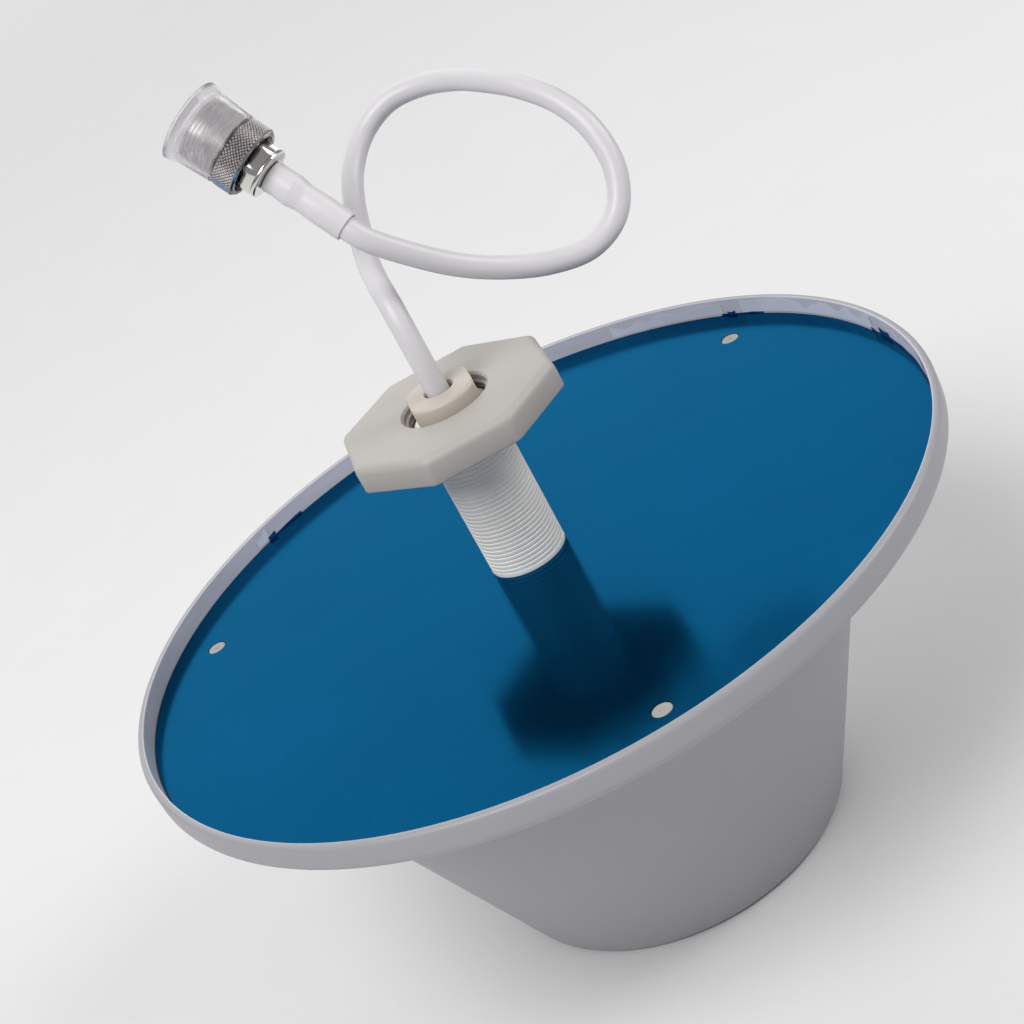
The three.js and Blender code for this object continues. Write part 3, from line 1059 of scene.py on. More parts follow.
# ---- ground plate, film and posts --------------------------------------------------------------------


@dataclass(frozen=True)
class FilmStrip:
    """A strip of film left standing against the inside of the lip.

    Attributes:
        name: The piece's name.
        angle: Where its middle is, in degrees from +X.
        sweep: The angle that it covers, in degrees.
        foot: How far over the film it begins, in millimetres. Under 0 it stands in the film's gap.
        rise: How far it climbs, in millimetres.
        finish: What it is dressed in.
    """

    name: str
    angle: float
    sweep: float
    foot: float
    rise: float
    finish: Finish


@dataclass
class GroundPlate:
    """The aluminium disc in the lip, the blue film over it and the posts through both.

    Attributes:
        edge_flats: The flats round the plate and the film.
        spigot_hole: The radius of the plate's hole for the stem, in millimetres.
        stem_hole: The radius of the film's hole for the stem.
        post_hole: The radius of the holes for the posts.
        posts: The numbers of the posts.
        shank: The radius of a post's shank.
        shank_length: The length of the shank under the post's head.
        mark_depth: The depth of the small mark in a post's head.
        strip_sheet: The thickness of the film left on the lip.
        strip_gap: How far outside the film's edge a strip stands that starts in the film's gap.
        residue_gap: How far outside it a strip stands that starts over the film.
        climbs: Where a strip's rows lie, as shares of its height.
        flats_per_degree: The flats along a strip, for each degree that it covers.
        least_flats: The fewest flats along a strip.
        strips: The strips of film left on the lip.
    """

    edge_flats: int = 320
    spigot_hole: float = 7.3
    stem_hole: float = 8.76
    post_hole: float = 2.22
    posts: tuple[int, ...] = (1, 2, 3)
    shank: float = 1.3
    shank_length: float = 1.3
    mark_depth: float = 0.35
    strip_sheet: float = 0.06
    strip_gap: float = 0.2
    residue_gap: float = 0.3
    climbs: tuple[float, ...] = (0, 0.35, 0.55, 0.75, 0.9, 1.0)
    flats_per_degree: float = 2.5
    least_flats: int = 8
    strips: tuple[FilmStrip, ...] = (
        FilmStrip("film_residue_far", 23, 29, 0.3, 3.6, FILM_RESIDUE),
        FilmStrip("film_residue_middle", 51, 20, 0.3, 3.2, FILM_RESIDUE),
        FilmStrip("film_residue_right", -3.5, 15, 0.3, 3.5, FILM_RESIDUE),
        FilmStrip("film_residue_left", 127.8, 2.6, 0.3, 3.4, FILM_RESIDUE),
        FilmStrip("film_rim_far", -2, 22, -0.2, 0.8, FILM_SCRAP),
        FilmStrip("film_rim_top", 37.5, 8, -0.2, 0.45, FILM_SCRAP),
        FilmStrip("film_rim_left", 122.5, 6, -0.2, 0.5, FILM_SCRAP),
        FilmStrip("film_scrap_far", 5, 3, -0.2, 1.9, FILM_SCRAP),
        FilmStrip("film_scrap_top", 39.6, 1.4, -0.2, 1.9, FILM_SCRAP),
        FilmStrip("film_scrap_near", 243, 1.2, -0.2, 3.9, FILM_SCRAP),
        FilmStrip("film_scrap_left", 126, 1.6, -0.2, 1.5, FILM_SCRAP),
    )

    def build(self) -> None:
        """Make the plate, the film, the posts and the strips left on the lip."""
        self.make_sheet("ground_sheet", "ground_plate", ALUMINIUM, self.spigot_hole)
        self.make_sheet("film_sheet", "protective_film", BLUE_FILM, self.stem_hole)
        for index in self.posts:
            self.make_post(index)
        for seed, strip in enumerate(self.strips):
            self.make_strip(strip, seed)

    def make_sheet(self, name: str, node: str, finish: Finish, hole: float) -> None:
        """Cut a round sheet with its stem hole and post holes.

        Args:
            name: The piece's name.
            node: The node that it replaces.
            finish: What it is dressed in.
            hole: The radius of the hole for the stem, in millimetres.
        """
        box = NodeBox.of(node)
        sheet = prism(name, self.edge_flats, box.reach, box.bottom, box.top)
        cutters = [self.cutter(box, hole, Matrix())]
        for index in self.posts:
            cutters.append(self.cutter(box, self.post_hole, NodeBox.of(f"plate_rivet_{index}").place))
        for cutter in cutters:
            carve(sheet, cutter)
        finish_piece(sheet, finish, [node])

    @staticmethod
    def cutter(sheet: NodeBox, radius: float, place: Matrix) -> Piece:
        """Return a round cutter that stands out of both faces of a sheet."""
        cutter = prism("cutter", Roundness.SMALL.value, radius, sheet.bottom - CUTTER_MARGIN,
                       sheet.top + CUTTER_MARGIN)
        settle_in(cutter, place)
        return cutter

    def make_post(self, index: int) -> None:
        """Make one of the posts, with a small mark in the middle of its head."""
        node = f"plate_rivet_{index}"
        box = NodeBox.of(node)
        seat = box.bottom + self.shank_length
        outline = [
            (0, box.bottom),
            (self.shank, box.bottom, 0.3),
            (self.shank, seat),
            (box.radius, seat),
            (box.radius, box.top, 0.25),
            (0.55, box.top - 0.05, 0.1),
            (0.3, box.top - self.mark_depth, 0.1),
            (0, box.top - self.mark_depth),
        ]
        TurnedPart(f"post_{index}", node, outline, POST_PLASTIC, place=box.place).make()

    def make_strip(self, strip: FilmStrip, seed: int) -> None:
        """Lay one strip of film against the inside of the lip and tear its edge.

        Args:
            strip: Which strip it is.
            seed: The seed of its torn edge.
        """
        film = NodeBox.of("protective_film")
        sweep = math.radians(strip.sweep)
        start = math.radians(strip.angle) + sweep / 2
        outward = Vector((math.cos(start), math.sin(start), 0))
        wall = film.reach + (self.residue_gap if strip.foot > 0 else self.strip_gap)
        rows = [strip.foot + (strip.rise - strip.foot) * share for share in self.climbs]
        points = [(outward * wall + Vector((0, 0, film.top + row))) * MM for row in rows]
        piece = draw_path(strip.name, points)
        bpy.ops.mesh.select_all(action="SELECT")
        flats = max(self.least_flats, round(math.degrees(sweep) * self.flats_per_degree))
        bpy.ops.mesh.spin(steps=flats, angle=sweep, center=(0, 0, 0), axis=(0, 0, 1))
        still = (film.top + max(strip.foot, 0.3) + 0.05) * MM
        edge = (film.top + strip.rise * 0.97) * MM
        self.tear(piece, still, edge, (strip.rise - strip.foot) * 0.45 * MM, random.Random(seed))
        modify(piece, "SOLIDIFY", thickness=self.strip_sheet * MM, offset=-1)
        mend(piece)
        finish_piece(piece, strip.finish, smoothing=Smoothing.SOFT)

    @staticmethod
    def tear(strip: Piece, still: float, edge: float, depth: float, chance: random.Random) -> None:
        """Pull the strip's upper edge down by uneven amounts.

        Args:
            strip: The strip, in edit mode.
            still: The height under which nothing moves, in metres.
            edge: The height above which its vertices belong to the edge, in metres.
            depth: The deepest tear, in metres.
            chance: Where its uneven amounts come from.
        """
        select(strip, MeshPart.EDGE, lambda side: max(vertex.co.z for vertex in side.verts) < still)
        bpy.ops.mesh.select_mode(type="VERT")
        bpy.ops.mesh.hide(unselected=False)
        upper = [v.index for v in bmesh.from_edit_mesh(strip.data).verts if v.co.z > edge]
        for place in chance.sample(upper, max(2, len(upper) // 6)):
            bpy.ops.mesh.select_all(action="DESELECT")
            mesh = bmesh.from_edit_mesh(strip.data)
            mesh.verts.ensure_lookup_table()
            mesh.verts[place].select_set(True)
            bmesh.update_edit_mesh(strip.data)
            bpy.ops.transform.translate(value=(0, 0, -depth * chance.uniform(0.2, 1)),
                                        use_proportional_edit=True, proportional_size=3.2 * MM,
                                        proportional_edit_falloff="SMOOTH")
        bpy.ops.mesh.reveal()
        clear_selection()


# ---- stem, lock nut, clamp nut and cable plug --------------------------------------------------------


@dataclass
class Stem:
    """The hollow threaded stem and the nut that holds it from inside, in millimetres.

    Attributes:
        crest: The radius of the thread's crest and of the collar.
        root: The radius of the thread's root.
        pitch: The rise of one turn.
        bore: The radius of the bore.
        spigot: The radius of the end that goes through the plate.
        seat_gap: The gap between the collar and the plate.
        collar_height: The height of the plain collar on the plate.
        chamfer: The chamfer at the stem's end.
        run_in: How far the thread starts under the collar's top, as a share of the pitch.
        locknut_edge: The rounding of the lock nut's edges.
        locknut_clearance: The gap between the spigot and the lock nut.
    """

    crest: float = 8.7
    root: float = 8.46
    pitch: float = 1.0
    bore: float = 6.0
    spigot: float = 7.0
    seat_gap: float = 0.05
    collar_height: float = 1.3
    chamfer: float = 0.6
    run_in: float = 0.2
    locknut_edge: float = 0.5
    locknut_clearance: float = 0.3

    def build(self) -> None:
        """Turn the stem's core, wind its thread on it and make the lock nut."""
        box = NodeBox.of("threaded_stem")
        bottom, top = box.bottom, box.top
        seat = NodeBox.of("ground_plate").top + self.seat_gap
        thread_start = seat + self.collar_height
        core = turned("stem_threaded", [
            (self.bore, bottom, 0.2),
            (self.spigot, bottom, 0.4),
            (self.spigot, seat),
            (self.crest, seat, 0.25),
            (self.crest, thread_start, 0.3),
            (self.root, thread_start, 0.15),
            (self.root, top - self.chamfer),
            (self.root - self.chamfer, top, 0.1),
            (self.bore, top, 0.2),
        ], Roundness.MEDIUM.value)
        turns = math.floor((top - thread_start - self.chamfer) / self.pitch)
        start = thread_start - self.run_in * self.pitch
        thread = Thread(self.root, self.crest, self.pitch, start, turns)
        merge_pieces(core, thread.cut("stem_thread"))
        finish_piece(core, STEM_PLASTIC, ["threaded_stem"], smoothing=Smoothing.CRISP)
        self.make_locknut()

    def make_locknut(self) -> None:
        """Make the hexagonal nut under the ground plate."""
        box = NodeBox.of("stem_locknut")
        nut = prism("locknut_hex", 6, box.reach, box.bottom, box.top)
        soften(nut, self.locknut_edge)
        carve(nut, prism("cutter", Roundness.FINE.value, self.spigot + self.locknut_clearance,
                         box.bottom - CUTTER_MARGIN, box.top + CUTTER_MARGIN))
        finish_piece(nut, STEM_PLASTIC, ["stem_locknut"])


@dataclass
class ClampNut:
    """The large octagonal nut that grips the ceiling panel, in millimetres.

    Attributes:
        sides: The number of its sides.
        top_edge: The rounding of the top face's rim.
        side_edge: The rounding of its upright edges.
        foot_edge: The rounding of the foot's rim.
        minor: The radius of the thread's crest.
        major: The radius of the thread's root.
        chamfer: The radius of the wide chamfer on top.
        foot_chamfer: The chamfer at the foot.
        pitch: The rise of one turn.
        plain_length: The length of the bore that has no thread.
    """

    sides: int = 8
    top_edge: float = 1.9
    side_edge: float = 0.7
    foot_edge: float = 0.3
    minor: float = 9.0
    major: float = 9.55
    chamfer: float = 10.05
    foot_chamfer: float = 0.4
    pitch: float = 1.0
    plain_length: float = 1.6

    def build(self) -> None:
        """Bevel an octagon's edges, bore it and cut its thread."""
        box = NodeBox.of("clamp_nut")
        bottom, top = box.bottom, box.top
        circumradius = box.reach / math.cos(math.pi / self.sides)
        nut = prism("clamp_nut_octagon", self.sides, circumradius, bottom, top, turn=180 / self.sides)
        self.round_edges(nut, top * MM, bottom * MM)
        bore = turned("cutter", [
            (0, bottom - CUTTER_MARGIN),
            (self.major + self.foot_chamfer, bottom - CUTTER_MARGIN),
            (self.major + self.foot_chamfer, bottom),
            (self.major, bottom + self.foot_chamfer),
            (self.major, top - (self.chamfer - self.major)),
            (self.chamfer, top),
            (self.chamfer, top + CUTTER_MARGIN),
            (0, top + CUTTER_MARGIN),
        ], Roundness.MEDIUM.value)
        carve(nut, bore)
        turns = math.floor((top - bottom - self.plain_length) / self.pitch)
        thread = Thread(self.major, self.minor, self.pitch, bottom + self.pitch, turns)
        merge_pieces(nut, thread.cut("nut_thread"))
        finish_piece(nut, NUT_PLASTIC, ["clamp_nut"], Body.CLAMP_NUT)

    def round_edges(self, nut: Piece, top: float, bottom: float) -> None:
        """Bevel the upright edges, then the top face's rim and last the foot's rim.

        Args:
            nut: The plain octagon.
            top: The height of its top face in metres.
            bottom: The height of its foot in metres.
        """
        edit(nut)
        select(nut, MeshPart.EDGE, is_upright)
        bpy.ops.mesh.bevel(offset=self.side_edge * MM, segments=4, affect="EDGES")
        select(nut, MeshPart.EDGE, lambda edge: lies_level(edge, top))
        bpy.ops.mesh.bevel(offset=self.top_edge * MM, segments=6, affect="EDGES")
        select(nut, MeshPart.EDGE, lambda edge: lies_level(edge, bottom))
        bpy.ops.mesh.bevel(offset=self.foot_edge * MM, segments=3, affect="EDGES")
        clear_selection()


@dataclass
class CablePlug:
    """The cream double-D plug that closes the stem's end around the lead, in millimetres.

    Attributes:
        hole: The radius of the hole for the lead.
        spigot: The radius of the part in the stem's bore.
        spigot_length: The length of that part.
        edge: The rounding of its top edge.
        flat_edge: The rounding of the edges that the flats leave.
    """

    hole: float = 3.1
    spigot: float = 5.7
    spigot_length: float = 6.0
    edge: float = 0.9
    flat_edge: float = 0.5

    def build(self) -> None:
        """Turn the plug and slice its two flats."""
        box = NodeBox.of("cable_plug")
        bottom, top, radius = box.bottom, box.top, box.high.y / MM
        seat = bottom + self.spigot_length
        plug = turned("cable_plug_double_d", [
            (self.hole, bottom, 0.2),
            (self.spigot, bottom, 0.4),
            (self.spigot, seat),
            (radius, seat, 0.2),
            (radius, top, self.edge),
            (self.hole + 0.25, top, 0.25),
            (self.hole, top - 0.6, 0.2),
        ], Roundness.MEDIUM.value)
        for side in (-1, 1):
            edit(plug)
            bpy.ops.mesh.bisect(plane_co=(side * box.high.x, 0, 0), plane_no=(side, 0, 0), use_fill=True,
                                clear_outer=True)
        mend(plug)
        soften(plug, self.flat_edge, angle=50)
        finish_piece(plug, PLUG_PLASTIC, ["cable_plug"])


# ---- feed and radiator inside the cup ----------------------------------------------------------------


@dataclass
class Feed:
    """The cable's end under the stem, with its lug, bush and pin, in millimetres.

    Attributes:
        jacket: The radius of the cable.
        lead_overlap: How far the free lead reaches down over it.
    """

    jacket: float = 2.5
    lead_overlap: float = 4.8

    def build(self) -> None:
        """Make the inner end of the cable, the braid's lug, the bush and the pin."""
        cable, lug = NodeBox.of("feed_cable"), NodeBox.of("braid_lug")
        bush, pin = NodeBox.of("feed_insulator"), NodeBox.of("feed_pin")
        jacket = disc(self.jacket, cable.bottom, cable.top - self.lead_overlap, 0.2)
        TurnedPart("feed_jacket", "feed_cable", jacket, JACKET_PVC).make()
        TurnedPart("braid_washer", "braid_lug", ring(1.9, 8, lug.bottom, lug.top, 0.15), TINNED).make()
        TurnedPart("feed_bush", "feed_insulator", ring(1.1, 5, bush.bottom, bush.top, 0.45), PTFE).make()
        TurnedPart("feed_needle", "feed_pin", disc(0.8, pin.bottom, pin.top, 0.3), BRASS).make()


@dataclass
class Radiator:
    """The sheet cone, the disc on its rim and what carries them, in millimetres.

    Attributes:
        sheet: The thickness of the cone's sheet.
        flange: The width of the flange at its foot.
        apex: The radius of its flat top.
        pin_hole: The radius of the hole for the feed's pin.
        standoffs: The numbers of the standoffs, their screws and the shorting strips.
        screw: The radius of a screw's shank.
        screw_bore: The radius of the bore for it.
        screw_bore_depth: The depth of that bore.
        screw_head: The radius of a screw's head.
        screw_head_height: The height of the head.
    """

    sheet: float = 1.0
    flange: float = 2.5
    apex: float = 4.5
    pin_hole: float = 1.1
    standoffs: tuple[int, ...] = (1, 2, 3)
    screw: float = 1.1
    screw_bore: float = 1.4
    screw_bore_depth: float = 7
    screw_head: float = 2.6
    screw_head_height: float = 1.6

    def build(self, frame: dict) -> None:
        """Spin the cone, make the standoffs and screws, and keep the flat sheets as they are."""
        box = NodeBox.of("radiator_cone")
        bottom, top, sheet = box.bottom, box.top, self.sheet
        rim = box.reach - self.flange
        TurnedPart("cone_spun", "radiator_cone", [
            (self.pin_hole, top - sheet, 0.1),
            (self.apex - 0.6, top - sheet, 1.0),
            (rim - 1.2 * sheet, bottom + sheet, 0.2),
            (rim - 1.2 * sheet, bottom, 0.2),
            (box.reach, bottom, 0.2),
            (box.reach, bottom + sheet, 0.2),
            (rim, bottom + sheet, 0.8),
            (self.apex, top, 1.5),
            (self.pin_hole, top, 0.1),
        ], TINNED, roundness=Roundness.MEDIUM).make()
        for index in self.standoffs:
            self.make_standoff(index)
            dress_node(frame, f"shorting_strip_{index}", TINNED)
        dress_node(frame, "loading_disc", TINNED)

    def make_standoff(self, index: int) -> None:
        """Make one standoff and its screw."""
        box = NodeBox.of(f"standoff_{index}")
        post = [
            (0, box.top),
            (box.radius, box.top, 0.3),
            (box.radius, box.bottom, 0.3),
            (self.screw_bore, box.bottom, 0.1),
            (self.screw_bore, box.bottom + self.screw_bore_depth),
            (0, box.bottom + self.screw_bore_depth),
        ]
        TurnedPart(f"standoff_post_{index}", f"standoff_{index}", post, NYLON, place=box.place).make()
        screw_box = NodeBox.of(f"standoff_screw_{index}")
        foot, tip = screw_box.bottom, screw_box.top
        screw = [
            (0, foot + 0.4),
            (0.5, foot + 0.4, 0.1),
            (0.8, foot, 0.1),
            (self.screw_head, foot, 0.8),
            (self.screw_head, foot + self.screw_head_height, 0.1),
            (self.screw, foot + self.screw_head_height),
            (self.screw, tip, 0.3),
            (0, tip),
        ]
        TurnedPart(f"screw_{index}", f"standoff_screw_{index}", screw, STEEL, place=box.place).make()


# ---- lead and connector ------------------------------------------------------------------------------


def plug_frame(frame: dict) -> Matrix:
    """Return the place of the connector: its rear flange at the origin, its axis along Z.


    Returns:
        The connector's matrix, in metres.
    """
    joints = frame["record"]["behaviour"]["joints"]
    joint = next(item for item in joints if item["name"] == "coupling_turn")
    turn = Vector((0, 0, 1)).rotation_difference(Vector(joint["axis"])).to_matrix().to_4x4()
    return Matrix.Translation(joint["pos_m"]) @ turn


@dataclass
class Lead:
    """The free coaxial lead, its heat-shrink sleeve and the ferrule under it.

    Attributes:
        place: The connector's place. Heights on the sleeve run along its axis from its rear flange.
        diameter: The lead's diameter, in metres.
        exit: Where it leaves the cable plug, in metres. Not used.
        inner_start: Where it starts inside the cable plug, in millimetres.
        route: The places that it passes, in millimetres.
        inside_sleeve: The heights of its last places, inside the sleeve, in millimetres.
        steps_per_span: The steps between one place and the next.
        sleeve_bore: The radius of the sleeve's bore on the ferrule, in millimetres.
        ripple_size: The size of the sleeve's ripples, in metres.
        ripple_depth: Their depth in millimetres.
    """

    place: Matrix
    diameter: float = 0.005
    exit: tuple[float, float, float] = (-0.00025, 0.0001, 0.1227)
    inner_start: tuple[float, float, float] = (-0.2, 0.0, 118.1)
    route: tuple[tuple[float, float, float], ...] = (
        (-0.25, 0.1, 123.0),
        (-0.3, 0.5, 133.5),
        (-0.3, 4.3, 140.8),
        (-0.4, 12, 145.2),
        (0.1, 22.4, 147.5),
        (1.6, 33.4, 149.8),
        (3.6, 42.9, 153.5),
        (7.1, 50.8, 157.9),
        (13.1, 55.8, 162.4),
        (20.6, 56.3, 165.5),
        (28.1, 53.3, 166),
        (35.2, 46.9, 165.1),
        (40.3, 39.4, 163.6),
        (45.4, 31.5, 161.1),
        (50.5, 24, 156.5),
        (53.6, 17.5, 150),
        (53.7, 12.1, 141.3),
        (49.6, 8.6, 134.2),
        (42.1, 6.6, 131.2),
        (33, 6, 132.6),
        (23.9, 5.5, 136.7),
        (15.8, 4.7, 142.2),
        (8.9, 3.9, 148.7),
    )
    inside_sleeve: tuple[float, ...] = (-22.5, -15.5, -8.5, -1.5)
    steps_per_span: int = 8
    sleeve_bore: float = 2.95
    ripple_size: float = 0.004
    ripple_depth: float = 0.22

    def centreline(self) -> list[Vector]:
        """Return the lead's smooth centreline, from inside the cable plug to inside the ferrule."""
        knots = [Vector(point) * MM for point in (self.inner_start, *self.route)]
        knots += [self.place @ Vector((0, 0, s * MM)) for s in self.inside_sleeve]
        line: list[Vector] = []
        for index in range(len(knots) - 1):
            first, second = knots[index], knots[index + 1]
            before = knots[index - 1] if index else 2 * first - second
            after = knots[index + 2] if index + 2 < len(knots) else 2 * second - first
            for step in range(self.steps_per_span):
                line.append(self.between(before, first, second, after, step / self.steps_per_span))
        line.append(knots[-1])
        return line

    @staticmethod
    def between(before: Vector, first: Vector, second: Vector, after: Vector, share: float) -> Vector:
        """Return a point of a centripetal Catmull-Rom span.

        Args:
            before: The knot before the span.
            first: The span's first knot.
            second: The span's last knot.
            after: The knot after the span.
            share: How far along the span the point is, from 0 to 1.

        Returns:
            The point.
        """
        t1 = math.sqrt((first - before).length)
        t2 = t1 + math.sqrt((second - first).length)
        t3 = t2 + math.sqrt((after - second).length)
        t = t1 + (t2 - t1) * share
        a1 = before.lerp(first, t / t1)
        a2 = first.lerp(second, (t - t1) / (t2 - t1))
        a3 = second.lerp(after, (t - t2) / (t3 - t2))
        b1 = a1.lerp(a2, t / t2)
        b2 = a2.lerp(a3, (t - t1) / (t3 - t1))
        return b1.lerp(b2, (t - t1) / (t2 - t1))

    def build(self) -> tuple[Piece, float]:
        """Sweep the jacket along its centreline.

        Returns:
            The lead and its length in metres.
        """
        line = self.centreline()
        curve = bpy.data.curves.new("lead_jacket", "CURVE")
        curve.dimensions = "3D"
        curve.bevel_depth = self.diameter / 2
        curve.bevel_resolution = 8
        curve.use_fill_caps = True
        spline = curve.splines.new("POLY")
        spline.points.add(len(line) - 1)
        for point, place in zip(spline.points, line):
            point.co = (*place, 1)
        spline.use_smooth = True
        lead = bpy.data.objects.new("lead_jacket", curve)
        bpy.context.scene.collection.objects.link(lead)
        finish_piece(lead, JACKET_PVC, ["coax_cable"])
        length = sum((after - before).length for before, after in zip(line, line[1:]))
        return lead, length

    def build_sleeve(self) -> list[Piece]:
        """Shrink the sleeve over the ferrule and the lead, and return both pieces."""
        sleeve = turned("shrink_sleeve", [
            (2.62, -18.6, 0.1),
            (3.12, -18.6, 0.12),
            (3.2, -12.0, 12),
            (3.02, -8.4, 4),
            (3.5, -5.6, 2.5),
            (3.3, -2.4, 5),
            (3.42, -0.15, 0.4),
            (self.sleeve_bore, -0.15, 0.1),
            (self.sleeve_bore, -5.6, 0.2),
            (2.7, -7.0, 0.2),
        ], Roundness.SLEEVE.value)
        ripples = bpy.data.textures.new("shrink_ripples", "CLOUDS")
        ripples.noise_scale = self.ripple_size
        settle_in(sleeve, self.place)
        modify(sleeve, "DISPLACE", texture=ripples, strength=self.ripple_depth * MM, mid_level=0.5)
        finish_piece(sleeve, SHRINK_TUBE, ["heat_shrink_sleeve"], smoothing=Smoothing.SOFT)
        tube = ring(2.62, 2.85, -5.3, -0.1, 0.05)
        ferrule = TurnedPart("ferrule_tube", "crimp_ferrule", tube, NICKEL, place=self.place).make()
        return [sleeve, ferrule]


@dataclass
class Connector:
    """The threaded coaxial plug on the lead's end.

    Heights run along its axis from its rear flange. All lengths are in millimetres.

    Attributes:
        place: The connector's place.
        nut_rear: The height of the coupling nut's rear face.
        knurl_front: The height of the knurl's front end.
        nut_front: The height of the coupling nut's front face.
        cap_front: The height of the dust cap's front.
        knurl: The radius of the knurl's grooves.
        nose: The radius of the coupling nut's nose.
        flange: The radius of the rear flange.
        flange_height: The thickness of the rear flange.
        barrel: The radius of the body's barrel.
        cable_bore: The radius of the bore for the cable.
        socket_bore: The radius of the bore for the insulator.
        hexagon: The distance from the axis to the hexagon's corners.
        hexagon_rear: The height of the hexagon's rear face.
        hexagon_edge: The rounding of the hexagon's corners.
        hexagon_turn: The angle of one of its corners, in degrees.
        nut_bore: The radius of the coupling nut's plain bore.
        recess_depth: The depth of the recess in the coupling nut's rear face.
        thread_bore: The radius of the coupling nut's threaded end.
        knurl_columns: The knurl's columns of diamonds.
        knurl_rows: Its rows of diamonds.
        knurl_height: The height of a diamond's point.
        cap_rear: How far the dust cap's rear edge lies in front of the knurl.
    """

    place: Matrix
    nut_rear: float = 3.95
    knurl_front: float = 9.1
    nut_front: float = 17.3
    cap_front: float = 19.9
    knurl: float = 7.5
    nose: float = 6.9
    flange: float = 5.55
    flange_height: float = 1.1
    barrel: float = 4.8
    cable_bore: float = 1.7
    socket_bore: float = 2.9
    hexagon: float = 5.9
    hexagon_rear: float = 0.8
    hexagon_edge: float = 1.3
    hexagon_turn: float = 17
    nut_bore: float = 5.05
    recess_depth: float = 1.2
    thread_bore: float = 5.6
    knurl_columns: int = 54
    knurl_rows: int = 6
    knurl_height: float = 0.32
    cap_rear: float = 0.2

    def build(self) -> list[Piece]:
        """Make the connector's pieces from its body out to the dust cap."""
        return [self.make_body(), *self.make_core(), self.make_coupling_nut(), self.make_snap_ring(),
                self.make_dust_cap()]

    def make_body(self) -> Piece:
        """Turn the barrel and its flange, and join the hexagon to them."""
        body = turned("plug_body", [
            (self.cable_bore, 0.0, 0.1),
            (self.flange, 0.0, 0.45),
            (self.flange, self.flange_height, 0.35),
            (self.barrel, self.flange_height),
            (self.barrel, 5.6),
            (4.5, 5.6),
            (4.5, 6.6),
            (self.barrel, 6.6),
            (self.barrel, 8.2, 0.2),
            (3.4, 8.2),
            (3.4, 12.5, 0.3),
            (self.socket_bore, 12.5, 0.1),
            (self.socket_bore, 3),
            (self.cable_bore, 3),
        ], Roundness.FINE.value)
        hexagon = prism("hexagon", 6, self.hexagon, self.hexagon_rear, self.nut_rear + 0.8,
                        turn=self.hexagon_turn)
        edit(hexagon)
        select(hexagon, MeshPart.EDGE, is_upright)
        bpy.ops.mesh.bevel(offset=self.hexagon_edge * MM, segments=6)
        clear_selection()
        soften(hexagon, 0.2)
        carve(body, hexagon, "UNION")
        settle_in(body, self.place)
        return finish_piece(body, NICKEL, ["connector_body"])

    def make_core(self) -> list[Piece]:
        """Make the insulator, the centre pin and the gasket."""
        pin = [(0, 2), (0.75, 2, 0.1), (0.75, 11, 0.5), (0.45, 13.5, 0.3), (0, 14)]
        rows = [
            ("plug_insulator", "connector_insulator", ring(0.95, 2.75, 3.2, 11.5, 0.15), PTFE),
            ("plug_pin", "centre_pin", pin, BRASS),
            ("plug_gasket", "sealing_gasket", ring(3.6, 5.2, 8.6, 9.8, 0.4), RUBBER),
        ]
        return [TurnedPart(*row, place=self.place).make() for row in rows]

    def make_coupling_nut(self) -> Piece:
        """Turn the nut, raise its diamond knurl and leave its nose smooth."""
        band_bottom, band_top = self.nut_rear + 0.35, self.knurl_front - 0.3
        band = [
            (self.knurl, band_bottom + (band_top - band_bottom) * row / self.knurl_rows)
            for row in range(self.knurl_rows + 1)
        ]
        recess = self.nut_rear + self.recess_depth
        nut = turned("coupling_nut_knurled", [
            (self.nut_bore, recess, 0.15),
            (6.2, recess),
            (6.5, self.nut_rear, 0.1),
            (self.knurl - 0.3, self.nut_rear, 0.1),
            *band,
            (self.knurl - 0.3, self.knurl_front),
            (self.nose, self.knurl_front),
            (self.nose, self.nut_front, 0.35),
            (6.1, self.nut_front, 0.1),
            (self.thread_bore, self.nut_front - 0.6),
            (self.thread_bore, 8.4),
            (self.nut_bore, 8.4),
            (self.nut_bore, 6.7),
            (5.5, 6.7),
            (5.5, 5.5),
            (self.nut_bore, 5.5),
        ], self.knurl_columns, arc_steps=3)
        self.raise_knurl(nut, band_bottom * MM, band_top * MM)
        settle_in(nut, self.place)
        turn = self.place.to_3x3().inverted().to_euler()
        finish = KnurledMetal(
            "knurled_nickel",
            Slot.NICKEL,
            (0.8, 0.77, 0.77),
            0.26,
            marks=(1, 1, 16),
            turn=tuple(turn),
            centre=tuple(self.place.translation),
            groove=self.knurl * MM,
            points=(self.knurl + self.knurl_height) * MM,
        )
        return finish_piece(nut, finish, ["coupling_nut"], Body.COUPLING_NUT, Smoothing.CRISP)

    def raise_knurl(self, nut: Piece, bottom: float, top: float) -> None:
        """Turn the band's square grid into diamonds, and lift a point on each.

        Args:
            nut: The turned nut, along Z.
            bottom: The band's lower edge in metres.
            top: The band's upper edge in metres.
        """
        def on_band(vertex: Any) -> bool:
            """Say whether a vertex is on the outside of the band."""
            radius = math.hypot(vertex.co.x, vertex.co.y)
            return bottom - NEAR < vertex.co.z < top + NEAR and radius > (self.knurl - 0.1) * MM

        def is_old(edge: Any) -> bool:
            """Say whether an edge is from the square grid and not on the band's border."""
            in_grid = all(vertex.index in grid for vertex in edge.verts)
            return in_grid and not lies_level(edge, bottom, top)

